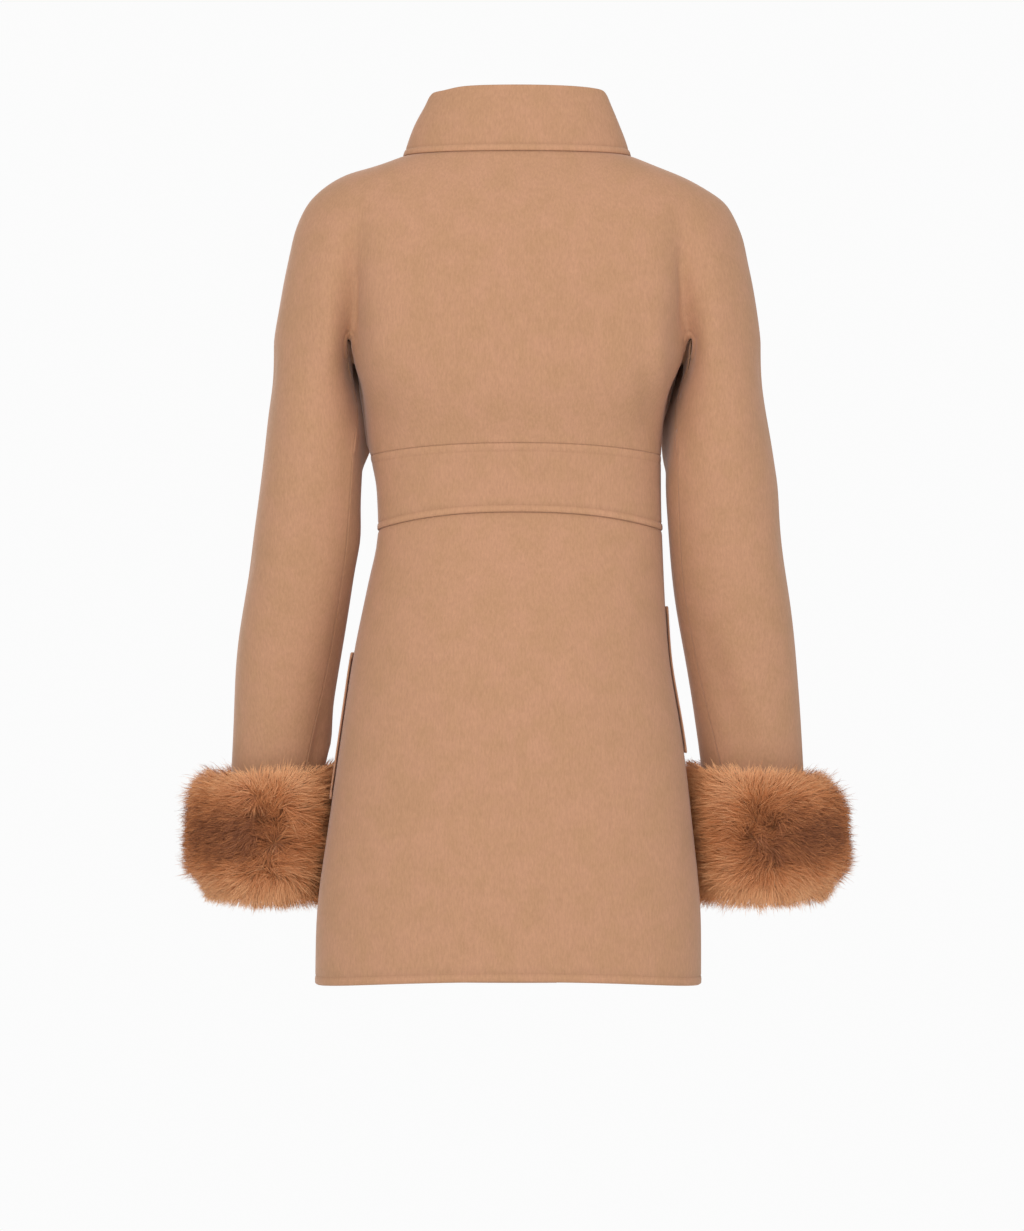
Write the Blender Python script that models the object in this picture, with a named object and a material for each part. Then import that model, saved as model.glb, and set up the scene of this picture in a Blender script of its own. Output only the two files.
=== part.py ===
"""Women's wool coat with fur cuffs, held in its worn form.

Every piece that a maker would cut is one closed solid: the back and the two fronts with their grown-on
sleeves, two underarm gussets, a stand collar, a three-part waistband, a three-part skirt, two pocket
edges and two fur cuffs. Sizes are in millimetres until a mesh is made, Blender's units are metres.
The origin is where the wearer's shoulders carry the coat. +Z is up, the front faces -Y and the wearer's
left is +X.
"""

from math import cos, pi, radians, sin

import bmesh
import bpy
from mathutils import Vector

# Cloth and making sizes
METRES = 0.001
MERGE_DISTANCE = 0.02
WOOL_WALL = 2.5
GUSSET_WALL = 1.6
COLLAR_WALL = 2.5
SEAM_GAP = 0.3
GUSSET_SET_BACK = 0.7
LAP_WIDTH = 42.0
LAP_LIFT = 3.4
LAP_MARGIN = 20.0
LAP_RAMP = 34.0
SLEEVE_CLEARANCE = 1.6
CUFF_CLEARANCE = 7.5

# Levels that seams and edges lie on, down from the shoulders
CORNER_LEVEL = -185.0
ARMPIT_LEVEL = -240.0
BAND_TOP_LEVEL = -305.0
BAND_BOTTOM_LEVEL = -381.0
HEM_LEVEL = -843.0
SLEEVE_END_LEVEL = -746.0

# Neckline and collar
NECK_HALF_WIDTH = 116.0
NECK_FRONT_DROP = 62.0
NECK_SPLIT = 90.0
COLLAR_TOP_HALF_WIDTH = 95.0
COLLAR_TOP_BACK = 53.0
COLLAR_TOP_FRONT = 70.0
COLLAR_SWELL = 2.0

# Squareness of the shoulder sections: 2 is an ellipse
SHOULDER_ROUNDNESS = 2.3
SLEEVE_ROUNDNESS = 2.15
FOLD_HALF_WIDTH = 16.0
FOLD_FADE = 4.0

# How quickly the torso's and the sleeve's edges leave the gusset's corner
TORSO_QUICKNESS = 2.9
SLEEVE_QUICKNESS = 1.0

# Depth below the corner over which the cloth settles into the plain sections
SETTLE_INSIDE = 118.0
SETTLE_BESIDE_SEAM = 60.0
SETTLE_NARROWING = 3.0

# Part of a sleeve's section that leans on the body
PRESS_START = 180.0
PRESS_END = 262.0

# Faces along and across the panels
TORSO_COLUMNS = 9
SLEEVE_COLUMNS = 8
LAP_COLUMNS = 2
COLUMN_CROWDING = 0.77
YOKE_SHARES = (0.0, 0.02, 0.06, 0.1, 0.15, 0.24, 0.33, 0.46, 0.66, 0.83, 1.0)
ARMPIT_LEVELS = (-185.0, -194.0, -203.0, -212.0, -221.0, -230.0, -240.0)
BODICE_LEVELS = (-256.0, -272.0, -288.0, BAND_TOP_LEVEL)
BAND_LEVELS = (BAND_TOP_LEVEL, -330.0, -356.0, BAND_BOTTOM_LEVEL)
SKIRT_ROWS = 13
SLEEVE_LEVELS = (-262.0, -289.0, -319.0, -350.0, -385.0, -420.0, -455.0, -490.0, -525.0, -560.0, -600.0,
                 -640.0, -680.0, -715.0, SLEEVE_END_LEVEL)
COLLAR_ROWS = 5

COLOURS = {
    "wool": ((0.56, 0.30, 0.17, 1.0), 0.85),
    "collar": ((0.58, 0.32, 0.185, 1.0), 0.85),
    "fur": ((0.36, 0.15, 0.055, 1.0), 0.7),
}


class Table:
    """Sizes in named columns, one row for each level, read between rows by a curve that never overshoots."""

    def __init__(self, columns, rows):
        self.columns = {name: [row[place] for row in rows] for place, name in enumerate(columns)}
        self.levels = self.columns["level"]

    def slope(self, values, place):
        """Slope of the curve at one row: none at the ends and at a crest or a dip."""
        if place in (0, len(values) - 1):
            return 0.0
        before = (values[place] - values[place - 1]) / (self.levels[place] - self.levels[place - 1])
        after = (values[place + 1] - values[place]) / (self.levels[place + 1] - self.levels[place])
        return 0.0 if before * after <= 0.0 else 2.0 * before * after / (before + after)

    def at(self, name, level):
        """Value of a column at a level."""
        values = self.columns[name]
        if level >= self.levels[0]:
            return values[0]
        for place in range(len(values) - 1):
            if level >= self.levels[place + 1]:
                step = self.levels[place + 1] - self.levels[place]
                share = (level - self.levels[place]) / step
                start = self.slope(values, place) * step
                end = self.slope(values, place + 1) * step
                rise = values[place + 1] - values[place]
                bend = start * (1 - share) ** 2 - end * share * (1 - share)
                return values[place] + rise * share**2 * (3 - 2 * share) + bend * share
        return values[-1]


# Torso and skirt: half-widths and depths from the coat's middle, how much higher the section runs at
# centre back, how much lower at centre front, and how square it is
BODY = Table(
    ("level", "left", "right", "back", "front", "back_rise", "front_drop", "roundness"),
    (
        (-185.0, 164.0, 166.0, 105.0, 119.0, 0.0, 0.0, 3.5),
        (-217.0, 160.0, 158.0, 103.0, 123.0, 1.0, 0.0, 2.6),
        (-248.0, 156.0, 152.0, 100.0, 119.0, 4.0, 0.0, 2.4),
        (-278.0, 153.0, 149.0, 95.0, 108.0, 7.0, 0.0, 2.35),
        (-305.0, 150.0, 147.0, 90.0, 98.0, 10.0, 0.0, 2.35),
        (-343.0, 146.0, 147.0, 87.0, 92.0, 14.0, 2.0, 2.4),
        (-381.0, 145.0, 148.0, 86.0, 91.0, 17.0, 4.0, 2.4),
        (-431.0, 151.0, 150.0, 97.0, 97.0, 17.0, 5.0, 2.35),
        (-472.0, 160.0, 152.0, 108.0, 103.0, 17.0, 6.0, 2.3),
        (-513.0, 168.0, 155.0, 117.0, 109.0, 16.0, 6.0, 2.25),
        (-554.0, 174.0, 162.0, 121.0, 115.0, 15.0, 7.0, 2.25),
        (-595.0, 180.0, 169.0, 122.0, 119.0, 15.0, 7.0, 2.2),
        (-700.0, 195.0, 181.0, 121.0, 123.0, 13.0, 9.0, 2.2),
        (-778.0, 205.0, 188.0, 120.0, 125.0, 12.0, 9.0, 2.2),
        (-843.0, 206.0, 188.0, 119.0, 127.0, 11.0, 10.0, 2.2),
    ),
)

# Shoulders down to the gusset corner: half-widths out to the arm, depths, where the gusset's corner line
# and the soft fold beside the arm run, how deep the fold is, and how far back the shoulder ridge lies
SHOULDER = Table(
    ("level", "left", "right", "back", "front", "corner_left", "corner_right", "fold_left", "fold_right",
     "fold_depth", "ridge"),
    (
        (0.0, 116.0, 116.0, 66.0, 55.0, 90.0, 90.0, 150.0, 150.0, 0.0, -3.0),
        (-4.0, 128.0, 127.0, 68.0, 57.0, 98.0, 98.0, 152.0, 152.0, 0.0, -3.0),
        (-11.0, 146.0, 143.0, 71.0, 61.0, 108.0, 108.0, 154.0, 155.0, 0.0, -3.0),
        (-19.0, 171.0, 165.0, 75.0, 66.0, 120.0, 120.0, 156.0, 158.0, 0.0, -3.0),
        (-28.0, 189.0, 185.0, 79.0, 71.0, 132.0, 134.0, 158.0, 160.0, 0.0, -3.0),
        (-44.0, 209.0, 205.0, 86.0, 80.0, 144.0, 147.0, 160.0, 163.0, 0.0, -3.0),
        (-60.0, 218.0, 216.0, 91.0, 88.0, 150.0, 153.0, 161.0, 166.0, 1.0, -2.0),
        (-85.0, 228.0, 226.0, 97.0, 98.0, 156.0, 160.0, 163.0, 170.0, 6.0, -2.0),
        (-125.0, 238.0, 236.0, 103.0, 110.0, 161.0, 166.0, 165.0, 172.0, 21.0, -1.0),
        (-155.0, 242.0, 241.0, 105.0, 116.0, 165.0, 170.0, 165.0, 171.0, 35.0, 0.0),
        (-185.0, 246.0, 245.0, 105.0, 119.0, 168.0, 173.0, 165.0, 169.0, 44.0, 0.0),
    ),
)

# Sleeves: outer and inner edges, how far back the middle lies, half-depths, how far the underarm seam
# turns to the back, and how much of the way the front inner side leans on the body
SLEEVE = Table(
    ("level", "outer_left", "inner_left", "outer_right", "inner_right", "middle", "back", "front",
     "seam_turn", "press_left", "press_right"),
    (
        (-185.0, 246.0, 173.0, 245.0, 175.0, 0.0, 69.0, 77.0, 0.0, 1.0, 1.0),
        (-217.0, 248.0, 169.0, 248.0, 169.0, 0.0, 68.0, 73.0, 0.0, 1.0, 1.0),
        (-248.0, 252.0, 163.0, 251.0, 162.0, -1.0, 66.0, 68.0, 0.0, 1.0, 1.0),
        (-289.0, 256.0, 157.0, 256.0, 156.0, -2.0, 64.0, 63.0, 32.0, 0.7, 1.0),
        (-319.0, 260.0, 158.0, 260.0, 152.0, -3.0, 63.0, 61.0, 36.0, 0.0, 0.6),
        (-350.0, 264.0, 160.0, 265.0, 153.0, -5.0, 61.0, 60.0, 36.0, 0.0, 0.0),
        (-391.0, 270.0, 164.0, 270.0, 156.0, -10.0, 60.0, 60.0, 34.0, 0.0, 0.0),
        (-431.0, 275.0, 170.0, 276.0, 159.0, -16.0, 60.0, 60.0, 32.0, 0.0, 0.0),
        (-472.0, 283.0, 177.0, 283.0, 166.0, -24.0, 59.0, 59.0, 31.0, 0.0, 0.0),
        (-513.0, 289.0, 184.0, 287.0, 174.0, -33.0, 58.0, 58.0, 32.0, 0.0, 0.0),
        (-554.0, 291.0, 191.0, 291.0, 181.0, -42.0, 57.0, 57.0, 37.0, 0.0, 0.0),
        (-595.0, 293.0, 197.0, 294.0, 187.0, -51.0, 56.0, 56.0, 45.0, 0.0, 0.0),
        (-640.0, 296.0, 201.0, 297.0, 192.0, -59.0, 55.0, 55.0, 54.0, 0.0, 0.0),
        (-746.0, 301.0, 208.0, 302.0, 199.0, -74.0, 54.0, 54.0, 60.0, 0.0, 0.0),
    ),
)

# Collar: top edge height for each angle round from centre back, written down the same way as a level
COLLAR_TOP = Table(
    ("level", "height"),
    ((0.0, 68.0), (-53.0, 66.5), (-70.0, 60.0), (-90.0, 48.0), (-130.0, 26.0), (-165.0, 12.0), (-200.0, 8.0)),
)

# Fur cuffs: how thick the fur stands on each side of the sleeve, and where it starts and ends
CUFF_TOP_LEVEL = -627.0
CUFF_BOTTOM_LEVEL = -766.0
CUFF_INNER_SIDE_LIFT = 9.0
CUFF_FUR_OUTER = 45.0
CUFF_FUR_BACK = 38.0
CUFF_FUR_INNER = 20.0
CUFF_SEAT_GAP = 0.8
CUFF_COLUMNS = 28
CUFF_PROFILE = Table(
    ("level", "thickness", "height"),
    (
        (0.0, 0.0, 0.06), (-1.0, 0.0, 0.3), (-2.0, 0.0, 0.6), (-3.0, 0.0, 0.92), (-4.0, 0.3, 1.0),
        (-5.0, 0.7, 0.96), (-6.0, 0.94, 0.84), (-7.0, 1.0, 0.62), (-8.0, 1.0, 0.38), (-9.0, 0.92, 0.16),
        (-10.0, 0.66, 0.03), (-11.0, 0.25, 0.0),
    ),
)

# Pocket edges: the level they start at on each side, their length and width
POCKET_TOP_LEFT = -505.0
POCKET_TOP_RIGHT = -458.0
POCKET_LENGTH = 150.0
POCKET_EDGE_TURN = 9.0
POCKET_EDGE_START = 1.2
POCKET_ROWS = 8
POCKET_COLUMNS = 2
POCKET_LIFT = 1.0


def smooth(share):
    """Share from 0 to 1 with a soft start and a soft end."""
    return share * share * (3.0 - 2.0 * share)


def lerp(start, end, share):
    return start + (end - start) * share


def power(value, exponent):
    return max(value, 0.0) ** exponent


def side_name(side):
    return "left" if side > 0 else "right"


def body_point(level, angle, side):
    """Point of the torso or skirt: angle 0 is centre back, 90 the side seam and 180 centre front."""
    if angle > 180.0:
        return body_point(level, 360.0 - angle, -side)
    turn = radians(angle)
    square = 2.0 / BODY.at("roundness", level)
    half_width = BODY.at(side_name(side), level)
    behind = cos(turn) > 0.0
    depth = BODY.at("back" if behind else "front", level)
    lean = BODY.at("back_rise", level) if behind else -BODY.at("front_drop", level)
    x = side * half_width * power(sin(turn), square)
    y = (1.0 if behind else -1.0) * depth * power(abs(cos(turn)), square)
    return Vector((x, y, level + lean * cos(turn) ** 2))


def body_edge(level, y, side):
    """How far out the body's side reaches at one level and depth."""
    squareness = BODY.at("roundness", level)
    depth = BODY.at("back" if y > 0.0 else "front", level)
    reach = 1.0 - power(abs(y) / depth, squareness)
    return BODY.at(side_name(side), level) * power(reach, 1.0 / squareness)


def shoulder_point(level, x, side, face):
    """Point above the gusset corner, x out from the middle on one side; face is 1 behind, -1 in front."""
    half_width = SHOULDER.at(side_name(side), level)
    depth = SHOULDER.at("back" if face > 0 else "front", level)
    round_off = power(1.0 - power(x / half_width, SHOULDER_ROUNDNESS), 1.0 / SHOULDER_ROUNDNESS)
    across = (x - SHOULDER.at("fold_" + side_name(side), level)) / FOLD_HALF_WIDTH
    fold = SHOULDER.at("fold_depth", level) / (1.0 + across**2) ** 2 * min(1.0, FOLD_FADE * round_off)
    ridge = SHOULDER.at("ridge", level)
    return Vector((side * x, ridge + face * (depth * round_off - fold), level))


def sleeve_point(level, angle, side):
    """Point of a sleeve: angle 0 is the outside, 90 behind, 180 next to the body and 270 in front."""
    name = side_name(side)
    outer = SLEEVE.at("outer_" + name, level)
    inner = SLEEVE.at("inner_" + name, level)
    turn = radians(angle)
    square = 2.0 / SLEEVE_ROUNDNESS
    out = power(abs(cos(turn)), square) * (1.0 if cos(turn) > 0.0 else -1.0)
    back = power(abs(sin(turn)), square) * (1.0 if sin(turn) > 0.0 else -1.0)
    depth = SLEEVE.at("back" if back > 0.0 else "front", level)
    y = SLEEVE.at("middle", level) + back * depth
    x = (outer + inner) / 2.0 + out * (outer - inner) / 2.0
    resting = body_edge(level, y, side) + SLEEVE_CLEARANCE
    if PRESS_START < angle < PRESS_END:
        around = sin(pi * (angle - PRESS_START) / (PRESS_END - PRESS_START))
        x = lerp(x, resting, SLEEVE.at("press_" + name, level) * around)
    x = max(x, resting)
    return Vector((side * x, y, level))


def column_share(place):
    """Share of the way from the middle to the side for one torso column."""
    return power(sin(radians(90.0 * place / TORSO_COLUMNS)), COLUMN_CROWDING)


def neck_level(x, face):
    """Level of the neck seam: flat behind, dropping to the middle in front."""
    return 0.0 if face > 0 else -NECK_FRONT_DROP * (1.0 - power(abs(x) / NECK_HALF_WIDTH, 2.0))


def yoke_point(share, torso_place, sleeve_place, side, face):
    """Point between the neck seam and the gusset corner, on a torso column or a sleeve column."""
    if sleeve_place is None:
        neck_x = NECK_SPLIT * column_share(torso_place)
    else:
        neck_x = lerp(NECK_SPLIT, NECK_HALF_WIDTH, sin(radians(90.0 * sleeve_place / SLEEVE_COLUMNS)))
    start = neck_level(neck_x, face)
    level = lerp(start, CORNER_LEVEL, share)
    half_width = SHOULDER.at(side_name(side), level)
    corner = SHOULDER.at("corner_" + side_name(side), level)
    if sleeve_place is None:
        x = corner * column_share(torso_place)
    else:
        x = lerp(corner, half_width, sin(radians(90.0 * sleeve_place / SLEEVE_COLUMNS)))
    neck_part = neck_x / SHOULDER.at(side_name(side), start)
    settled = 1.0 - (1.0 - share) ** 2
    return shoulder_point(level, half_width * lerp(neck_part, x / half_width, settled), side, face)


def lap_edge_point(share, reach, side):
    """Point of a front above the gusset corner, reach millimetres past the middle."""
    level = lerp(neck_level(reach, -1), CORNER_LEVEL, share)
    return shoulder_point(level, reach, -side, -1)


def lap_angle(level, reach, side):
    """Angle past centre front at which a front edge lies reach millimetres over."""
    half_width = BODY.at(side_name(-side), level)
    sine = (reach / half_width) ** (BODY.at("roundness", level) / 2.0)
    return 180.0 + sine * 180.0 / pi


def lapped(point, side):
    """The wearer's right front lies on the left one: its points move out over the lap."""
    if side > 0:
        return point
    share = min(1.0, max(0.0, (point.x + LAP_WIDTH + LAP_MARGIN + LAP_RAMP) / LAP_RAMP))
    return point - Vector((0.0, LAP_LIFT * smooth(share), 0.0))


def torso_angle(place, face):
    turn = 90.0 * place / TORSO_COLUMNS
    return turn if face > 0 else 180.0 - turn


def body_row(level, side, face):
    """Points of one section from the middle, or the lap edge in front, to the side seam."""
    row = [body_point(level, torso_angle(place, face), side) for place in range(TORSO_COLUMNS + 1)]
    if face > 0:
        return row
    past = [
        body_point(level, lap_angle(level, LAP_WIDTH * place / LAP_COLUMNS, side), side)
        for place in range(LAP_COLUMNS, 0, -1)
    ]
    return [lapped(point, side) for point in past + row]


def yoke_torso_row(share, side, face):
    row = [yoke_point(share, place, None, side, face) for place in range(TORSO_COLUMNS + 1)]
    if face > 0:
        return row
    past = [
        lap_edge_point(share, LAP_WIDTH * place / LAP_COLUMNS, side) for place in range(LAP_COLUMNS, 0, -1)
    ]
    return [lapped(point, side) for point in past + row]


def yoke_sleeve_row(share, side, face):
    return [yoke_point(share, None, place, side, face) for place in range(SLEEVE_COLUMNS + 1)]


def settled_share(level, place, last, quickness):
    """How far a column has come from the corner row to the sections: first at the seam, later inside."""
    below = CORNER_LEVEL - level
    if place == last:
        return 1.0 - power(1.0 - min(1.0, below / (CORNER_LEVEL - ARMPIT_LEVEL)), quickness)
    depth = lerp(SETTLE_INSIDE, SETTLE_BESIDE_SEAM, power(place / last, SETTLE_NARROWING))
    return smooth(min(1.0, below / depth))


def settle(start_row, end_row, shares):
    """Row between the gusset corner's row and a section below it, at the section's own height."""
    row = []
    for start, end, share in zip(start_row, end_row, shares):
        row.append(Vector((lerp(start.x, end.x, share), lerp(start.y, end.y, share), end.z)))
    return row


def torso_rows(side, face):
    """Rows of a torso half from the neck seam to the waistband."""
    rows = [yoke_torso_row(share, side, face) for share in YOKE_SHARES]
    corner_row = rows[-1]
    last = TORSO_COLUMNS
    first = last + 1 - len(corner_row)
    for level in ARMPIT_LEVELS[1:] + BODICE_LEVELS:
        places = [max(place, 0) for place in range(first, last + 1)]
        shares = [settled_share(level, place, last, TORSO_QUICKNESS) for place in places]
        rows.append(settle(corner_row, body_row(level, side, face), shares))
    return rows


def sleeve_section(level, side, face):
    """Points of a sleeve half from the underarm seam to the outside."""
    seam = 180.0 - SLEEVE.at("seam_turn", level)
    end = 0.0 if face > 0 else 360.0
    places = range(SLEEVE_COLUMNS + 1)
    return [sleeve_point(level, lerp(seam, end, place / SLEEVE_COLUMNS), side) for place in places]


def sleeve_rows(side, face):
    """Rows of a sleeve half from the neck seam to the sleeve's end."""
    rows = [yoke_sleeve_row(share, side, face) for share in YOKE_SHARES]
    corner_row = rows[-1]
    last = SLEEVE_COLUMNS
    for level in ARMPIT_LEVELS[1:] + SLEEVE_LEVELS:
        shares = [settled_share(level, last - place, last, SLEEVE_QUICKNESS) for place in range(last + 1)]
        rows.append(settle(corner_row, sleeve_section(level, side, face), shares))
    return rows


def underarm_edges(side, face):
    """Torso and sleeve edges of the gusset, from its corner down to the seams."""
    first = len(YOKE_SHARES) - 1
    last = first + len(ARMPIT_LEVELS)
    torso = [row[-1] for row in torso_rows(side, face)[first:last]]
    sleeve = [row[0] for row in sleeve_rows(side, face)[first:last]]
    return torso, sleeve


def gusset_grid(side):
    """Patch between the four edges that the back, the front, the torso and the sleeve leave open."""
    torso_back, sleeve_back = underarm_edges(side, 1)
    torso_front, sleeve_front = underarm_edges(side, -1)
    last = len(ARMPIT_LEVELS) - 1
    torso_front.reverse()
    sleeve_front.reverse()
    grid = []
    for i in range(last + 1):
        u = i / last
        row = []
        for j in range(last + 1):
            v = j / last
            across = lerp(torso_back[i], sleeve_front[i], v)
            along = lerp(sleeve_back[j], torso_front[j], u)
            low = lerp(torso_back[0], torso_back[last], u)
            high = lerp(sleeve_front[0], sleeve_front[last], u)
            row.append(across + along - lerp(low, high, v))
        grid.append(row)
    return grid


def neck_loop():
    """Neck seam from the left front's edge round the back to the right front's edge."""
    loop = []
    for side in (1, -1):
        front = yoke_torso_row(0.0, side, -1)[:-1] + yoke_sleeve_row(0.0, side, -1)
        back = yoke_torso_row(0.0, side, 1)[:-1] + yoke_sleeve_row(0.0, side, 1)
        half = front + back[-2::-1]
        loop += half if side > 0 else half[-2::-1]
    return loop


def collar_grid():
    """Stand collar: from the neck seam up to a smaller ring that is lower in front."""
    base = neck_loop()
    middle = (len(base) - 1) / 2
    grid = []
    for row in range(COLLAR_ROWS + 1):
        share = row / COLLAR_ROWS
        points = []
        for place, foot in enumerate(base):
            side = 1 if place < middle else -1
            reach = min(1.0, abs(foot.x) / NECK_HALF_WIDTH)
            x = foot.x * COLLAR_TOP_HALF_WIDTH / NECK_HALF_WIDTH
            behind = foot.y > SHOULDER.at("ridge", 0.0)
            depth = COLLAR_TOP_BACK if behind else -COLLAR_TOP_FRONT
            turn = 90.0 * (1.0 - power(1.0 - reach**2, 0.5))
            angle = turn if behind else 180.0 - turn
            y = depth * power(1.0 - reach**2, 0.5)
            if not behind:
                y = lapped(Vector((foot.x, y, 0.0)), side).y
            top = Vector((x, y, COLLAR_TOP.at("height", -angle)))
            point = foot.lerp(top, share)
            swell = COLLAR_SWELL * 4.0 * share * (1.0 - share)
            outward = Vector((foot.x, foot.y, 0.0)).normalized()
            points.append(point + outward * swell)
        grid.append(points)
    return grid


def skirt_rows(side, face):
    levels = [lerp(BAND_BOTTOM_LEVEL, HEM_LEVEL, row / SKIRT_ROWS) for row in range(SKIRT_ROWS + 1)]
    return [body_row(level, side, face) for level in levels]


def pocket_grid(side):
    """Strip along the skirt front's side edge, made from the panel's points moved out."""
    top = POCKET_TOP_LEFT if side > 0 else POCKET_TOP_RIGHT
    grid = []
    for row in range(POCKET_ROWS + 1):
        level = top - POCKET_LENGTH * row / POCKET_ROWS
        points = []
        for place in range(POCKET_COLUMNS + 1):
            angle = 90.0 + POCKET_EDGE_START + POCKET_EDGE_TURN * place / POCKET_COLUMNS
            point = body_point(level, angle, side)
            outward = Vector((point.x, point.y, 0.0)).normalized()
            points.append(point + outward * (WOOL_WALL + POCKET_LIFT))
        grid.append(points)
    return grid


def both_halves(row_maker):
    """Rows that run from the left side seam through the middle to the right one."""
    left = row_maker(1, 1)
    right = row_maker(-1, 1)
    return [list(reversed(a)) + b[1:] for a, b in zip(left, right)]


class Panel:
    """Cloth cut as one piece: one or more grids of outer points, joined where their points meet."""

    def __init__(self, name, wall, finish, set_back=SEAM_GAP / 2.0, blunt=False):
        """A blunt piece goes without the quads at its first and last corner, where its wall would cross."""
        self.name = name
        self.wall = wall
        self.finish = finish
        self.set_back = set_back
        self.blunt = blunt
        self.grids = []

    def add(self, rows, seams, flip):
        """Add a grid; seams names the sides that stop short of a neighbour."""
        self.grids.append((rows, seams, flip))
        return self


def key_of(point):
    """Name of a place, the same for all the pieces that have a point there."""
    return tuple(round(value / MERGE_DISTANCE) for value in point)


def grid_normals(panels):
    """Outward directions at every point, shared by all the pieces that meet there."""
    directions = {}
    for panel in panels:
        for rows, _seams, flip in panel.grids:
            for i in range(len(rows) - 1):
                for j in range(len(rows[0]) - 1):
                    corners = (rows[i][j], rows[i][j + 1], rows[i + 1][j + 1], rows[i + 1][j])
                    face = (corners[2] - corners[0]).cross(corners[3] - corners[1])
                    face = -face if flip else face
                    for corner in corners:
                        key = key_of(corner)
                        directions[key] = directions.get(key, Vector()) + face
    return {key: value.normalized() for key, value in directions.items()}


def shrink(rows, seams, set_back):
    """Copy of a grid with its seamed sides moved back from their neighbours."""
    moved = [[point.copy() for point in row] for row in rows]
    last_row = len(rows) - 1
    last_column = len(rows[0]) - 1
    for i in range(last_row + 1):
        for j in range(last_column + 1):
            shift = Vector()
            if i == 0 and "first_row" in seams:
                shift += (rows[1][j] - rows[0][j]).normalized()
            if i == last_row and "last_row" in seams:
                shift += (rows[i - 1][j] - rows[i][j]).normalized()
            if j == 0 and seam_runs(seams, "first_column", i):
                shift += (rows[i][1] - rows[i][0]).normalized()
            if j == last_column and seam_runs(seams, "last_column", i):
                shift += (rows[i][j - 1] - rows[i][j]).normalized()
            moved[i][j] += shift * set_back
    return moved


def seam_runs(seams, name, row):
    """A seam along a column may start at a row: it is then written with that row."""
    return name in seams and row >= seams[name]


def grid_mesh(rows, flip, shape):
    """Add one open grid of faces to a bmesh, placed on the rows' points."""
    across = len(rows[0])
    made = bmesh.ops.create_grid(shape, x_segments=across - 1, y_segments=len(rows) - 1, size=1.0)
    verts = made["verts"]
    for place, vert in enumerate(verts):
        vert.co = rows[place // across][place % across] * METRES
    if flip:
        faces = list({face for vert in verts for face in vert.link_faces})
        bmesh.ops.reverse_faces(shape, faces=faces)
    return verts


def shell_mesh(panel, directions):
    """Closed wall: the outer grids, a copy moved in by the wall, and the rim between them."""
    shape = bmesh.new()
    layer = shape.verts.layers.float_vector.new("inward")
    for rows, seams, flip in panel.grids:
        verts = grid_mesh(shrink(rows, seams, panel.set_back), flip, shape)
        points = [point for row in rows for point in row]
        for vert, point in zip(verts, points):
            vert[layer] = directions[key_of(point)]
        if panel.blunt:
            across = len(rows[0])
            tips = [0, 1, across, -1, -2, -1 - across]
            bmesh.ops.delete(shape, geom=[verts[place] for place in tips], context="VERTS")
    bmesh.ops.remove_doubles(shape, verts=shape.verts[:], dist=MERGE_DISTANCE * METRES)
    outer_faces = shape.faces[:]
    made = bmesh.ops.extrude_face_region(shape, geom=outer_faces, use_keep_orig=True)
    copies = [item for item in made["geom"] if isinstance(item, bmesh.types.BMVert)]
    for vert in copies:
        vert.co -= Vector(vert[layer]) * panel.wall * METRES
    shape.verts.layers.float_vector.remove(layer)
    bmesh.ops.recalc_face_normals(shape, faces=shape.faces[:])
    return shape


def material_for(name, finish):
    colour, roughness = COLOURS[finish]
    material = bpy.data.materials.new(name + "_material")
    material.use_nodes = True
    shader = material.node_tree.nodes["Principled BSDF"]
    shader.inputs["Base Color"].default_value = colour
    shader.inputs["Roughness"].default_value = roughness
    shader.inputs["Metallic"].default_value = 0.0
    return material


def add_object(name, shape, finish, collection):
    mesh = bpy.data.meshes.new(name)
    shape.to_mesh(mesh)
    shape.free()
    made = bpy.data.objects.new(name, mesh)
    made.data.materials.append(material_for(name, finish))
    collection.objects.link(made)
    return made


def cuff_shape(side):
    """Fat closed ring round the sleeve's end, as far out as the fur reaches."""
    name = side_name(side)
    profile = len(CUFF_PROFILE.levels)
    rows = []
    for step in range(profile + 1):
        mark = -float(step % profile)
        thickness = CUFF_PROFILE.at("thickness", mark)
        height = CUFF_PROFILE.at("height", mark)
        row = []
        for place in range(CUFF_COLUMNS + 1):
            angle = 360.0 * (place % CUFF_COLUMNS) / CUFF_COLUMNS
            turn = radians(angle)
            toward_body = (1.0 - cos(turn)) / 2.0
            lift = CUFF_INNER_SIDE_LIFT * toward_body * height
            level = lerp(CUFF_BOTTOM_LEVEL, CUFF_TOP_LEVEL, height) + lift
            seat = sleeve_point(level, angle, side)
            fur = lerp(CUFF_FUR_OUTER, CUFF_FUR_BACK, abs(sin(turn)))
            if cos(turn) < 0.0:
                fur = lerp(CUFF_FUR_INNER, CUFF_FUR_BACK, sin(turn) ** 2)
            outward = Vector((side * cos(turn), sin(turn), 0.0))
            point = seat + outward * (CUFF_SEAT_GAP + fur * thickness)
            if thickness > 0.0:
                nearest = body_edge(level, point.y, side) + CUFF_CLEARANCE
                point.x = side * max(abs(point.x), nearest)
            row.append(point)
        rows.append(row)
    shape = bmesh.new()
    grid_mesh(rows, side < 0, shape)
    bmesh.ops.remove_doubles(shape, verts=shape.verts[:], dist=MERGE_DISTANCE * METRES)
    bmesh.ops.recalc_face_normals(shape, faces=shape.faces[:])
    return "cuff_" + name, shape


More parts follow.
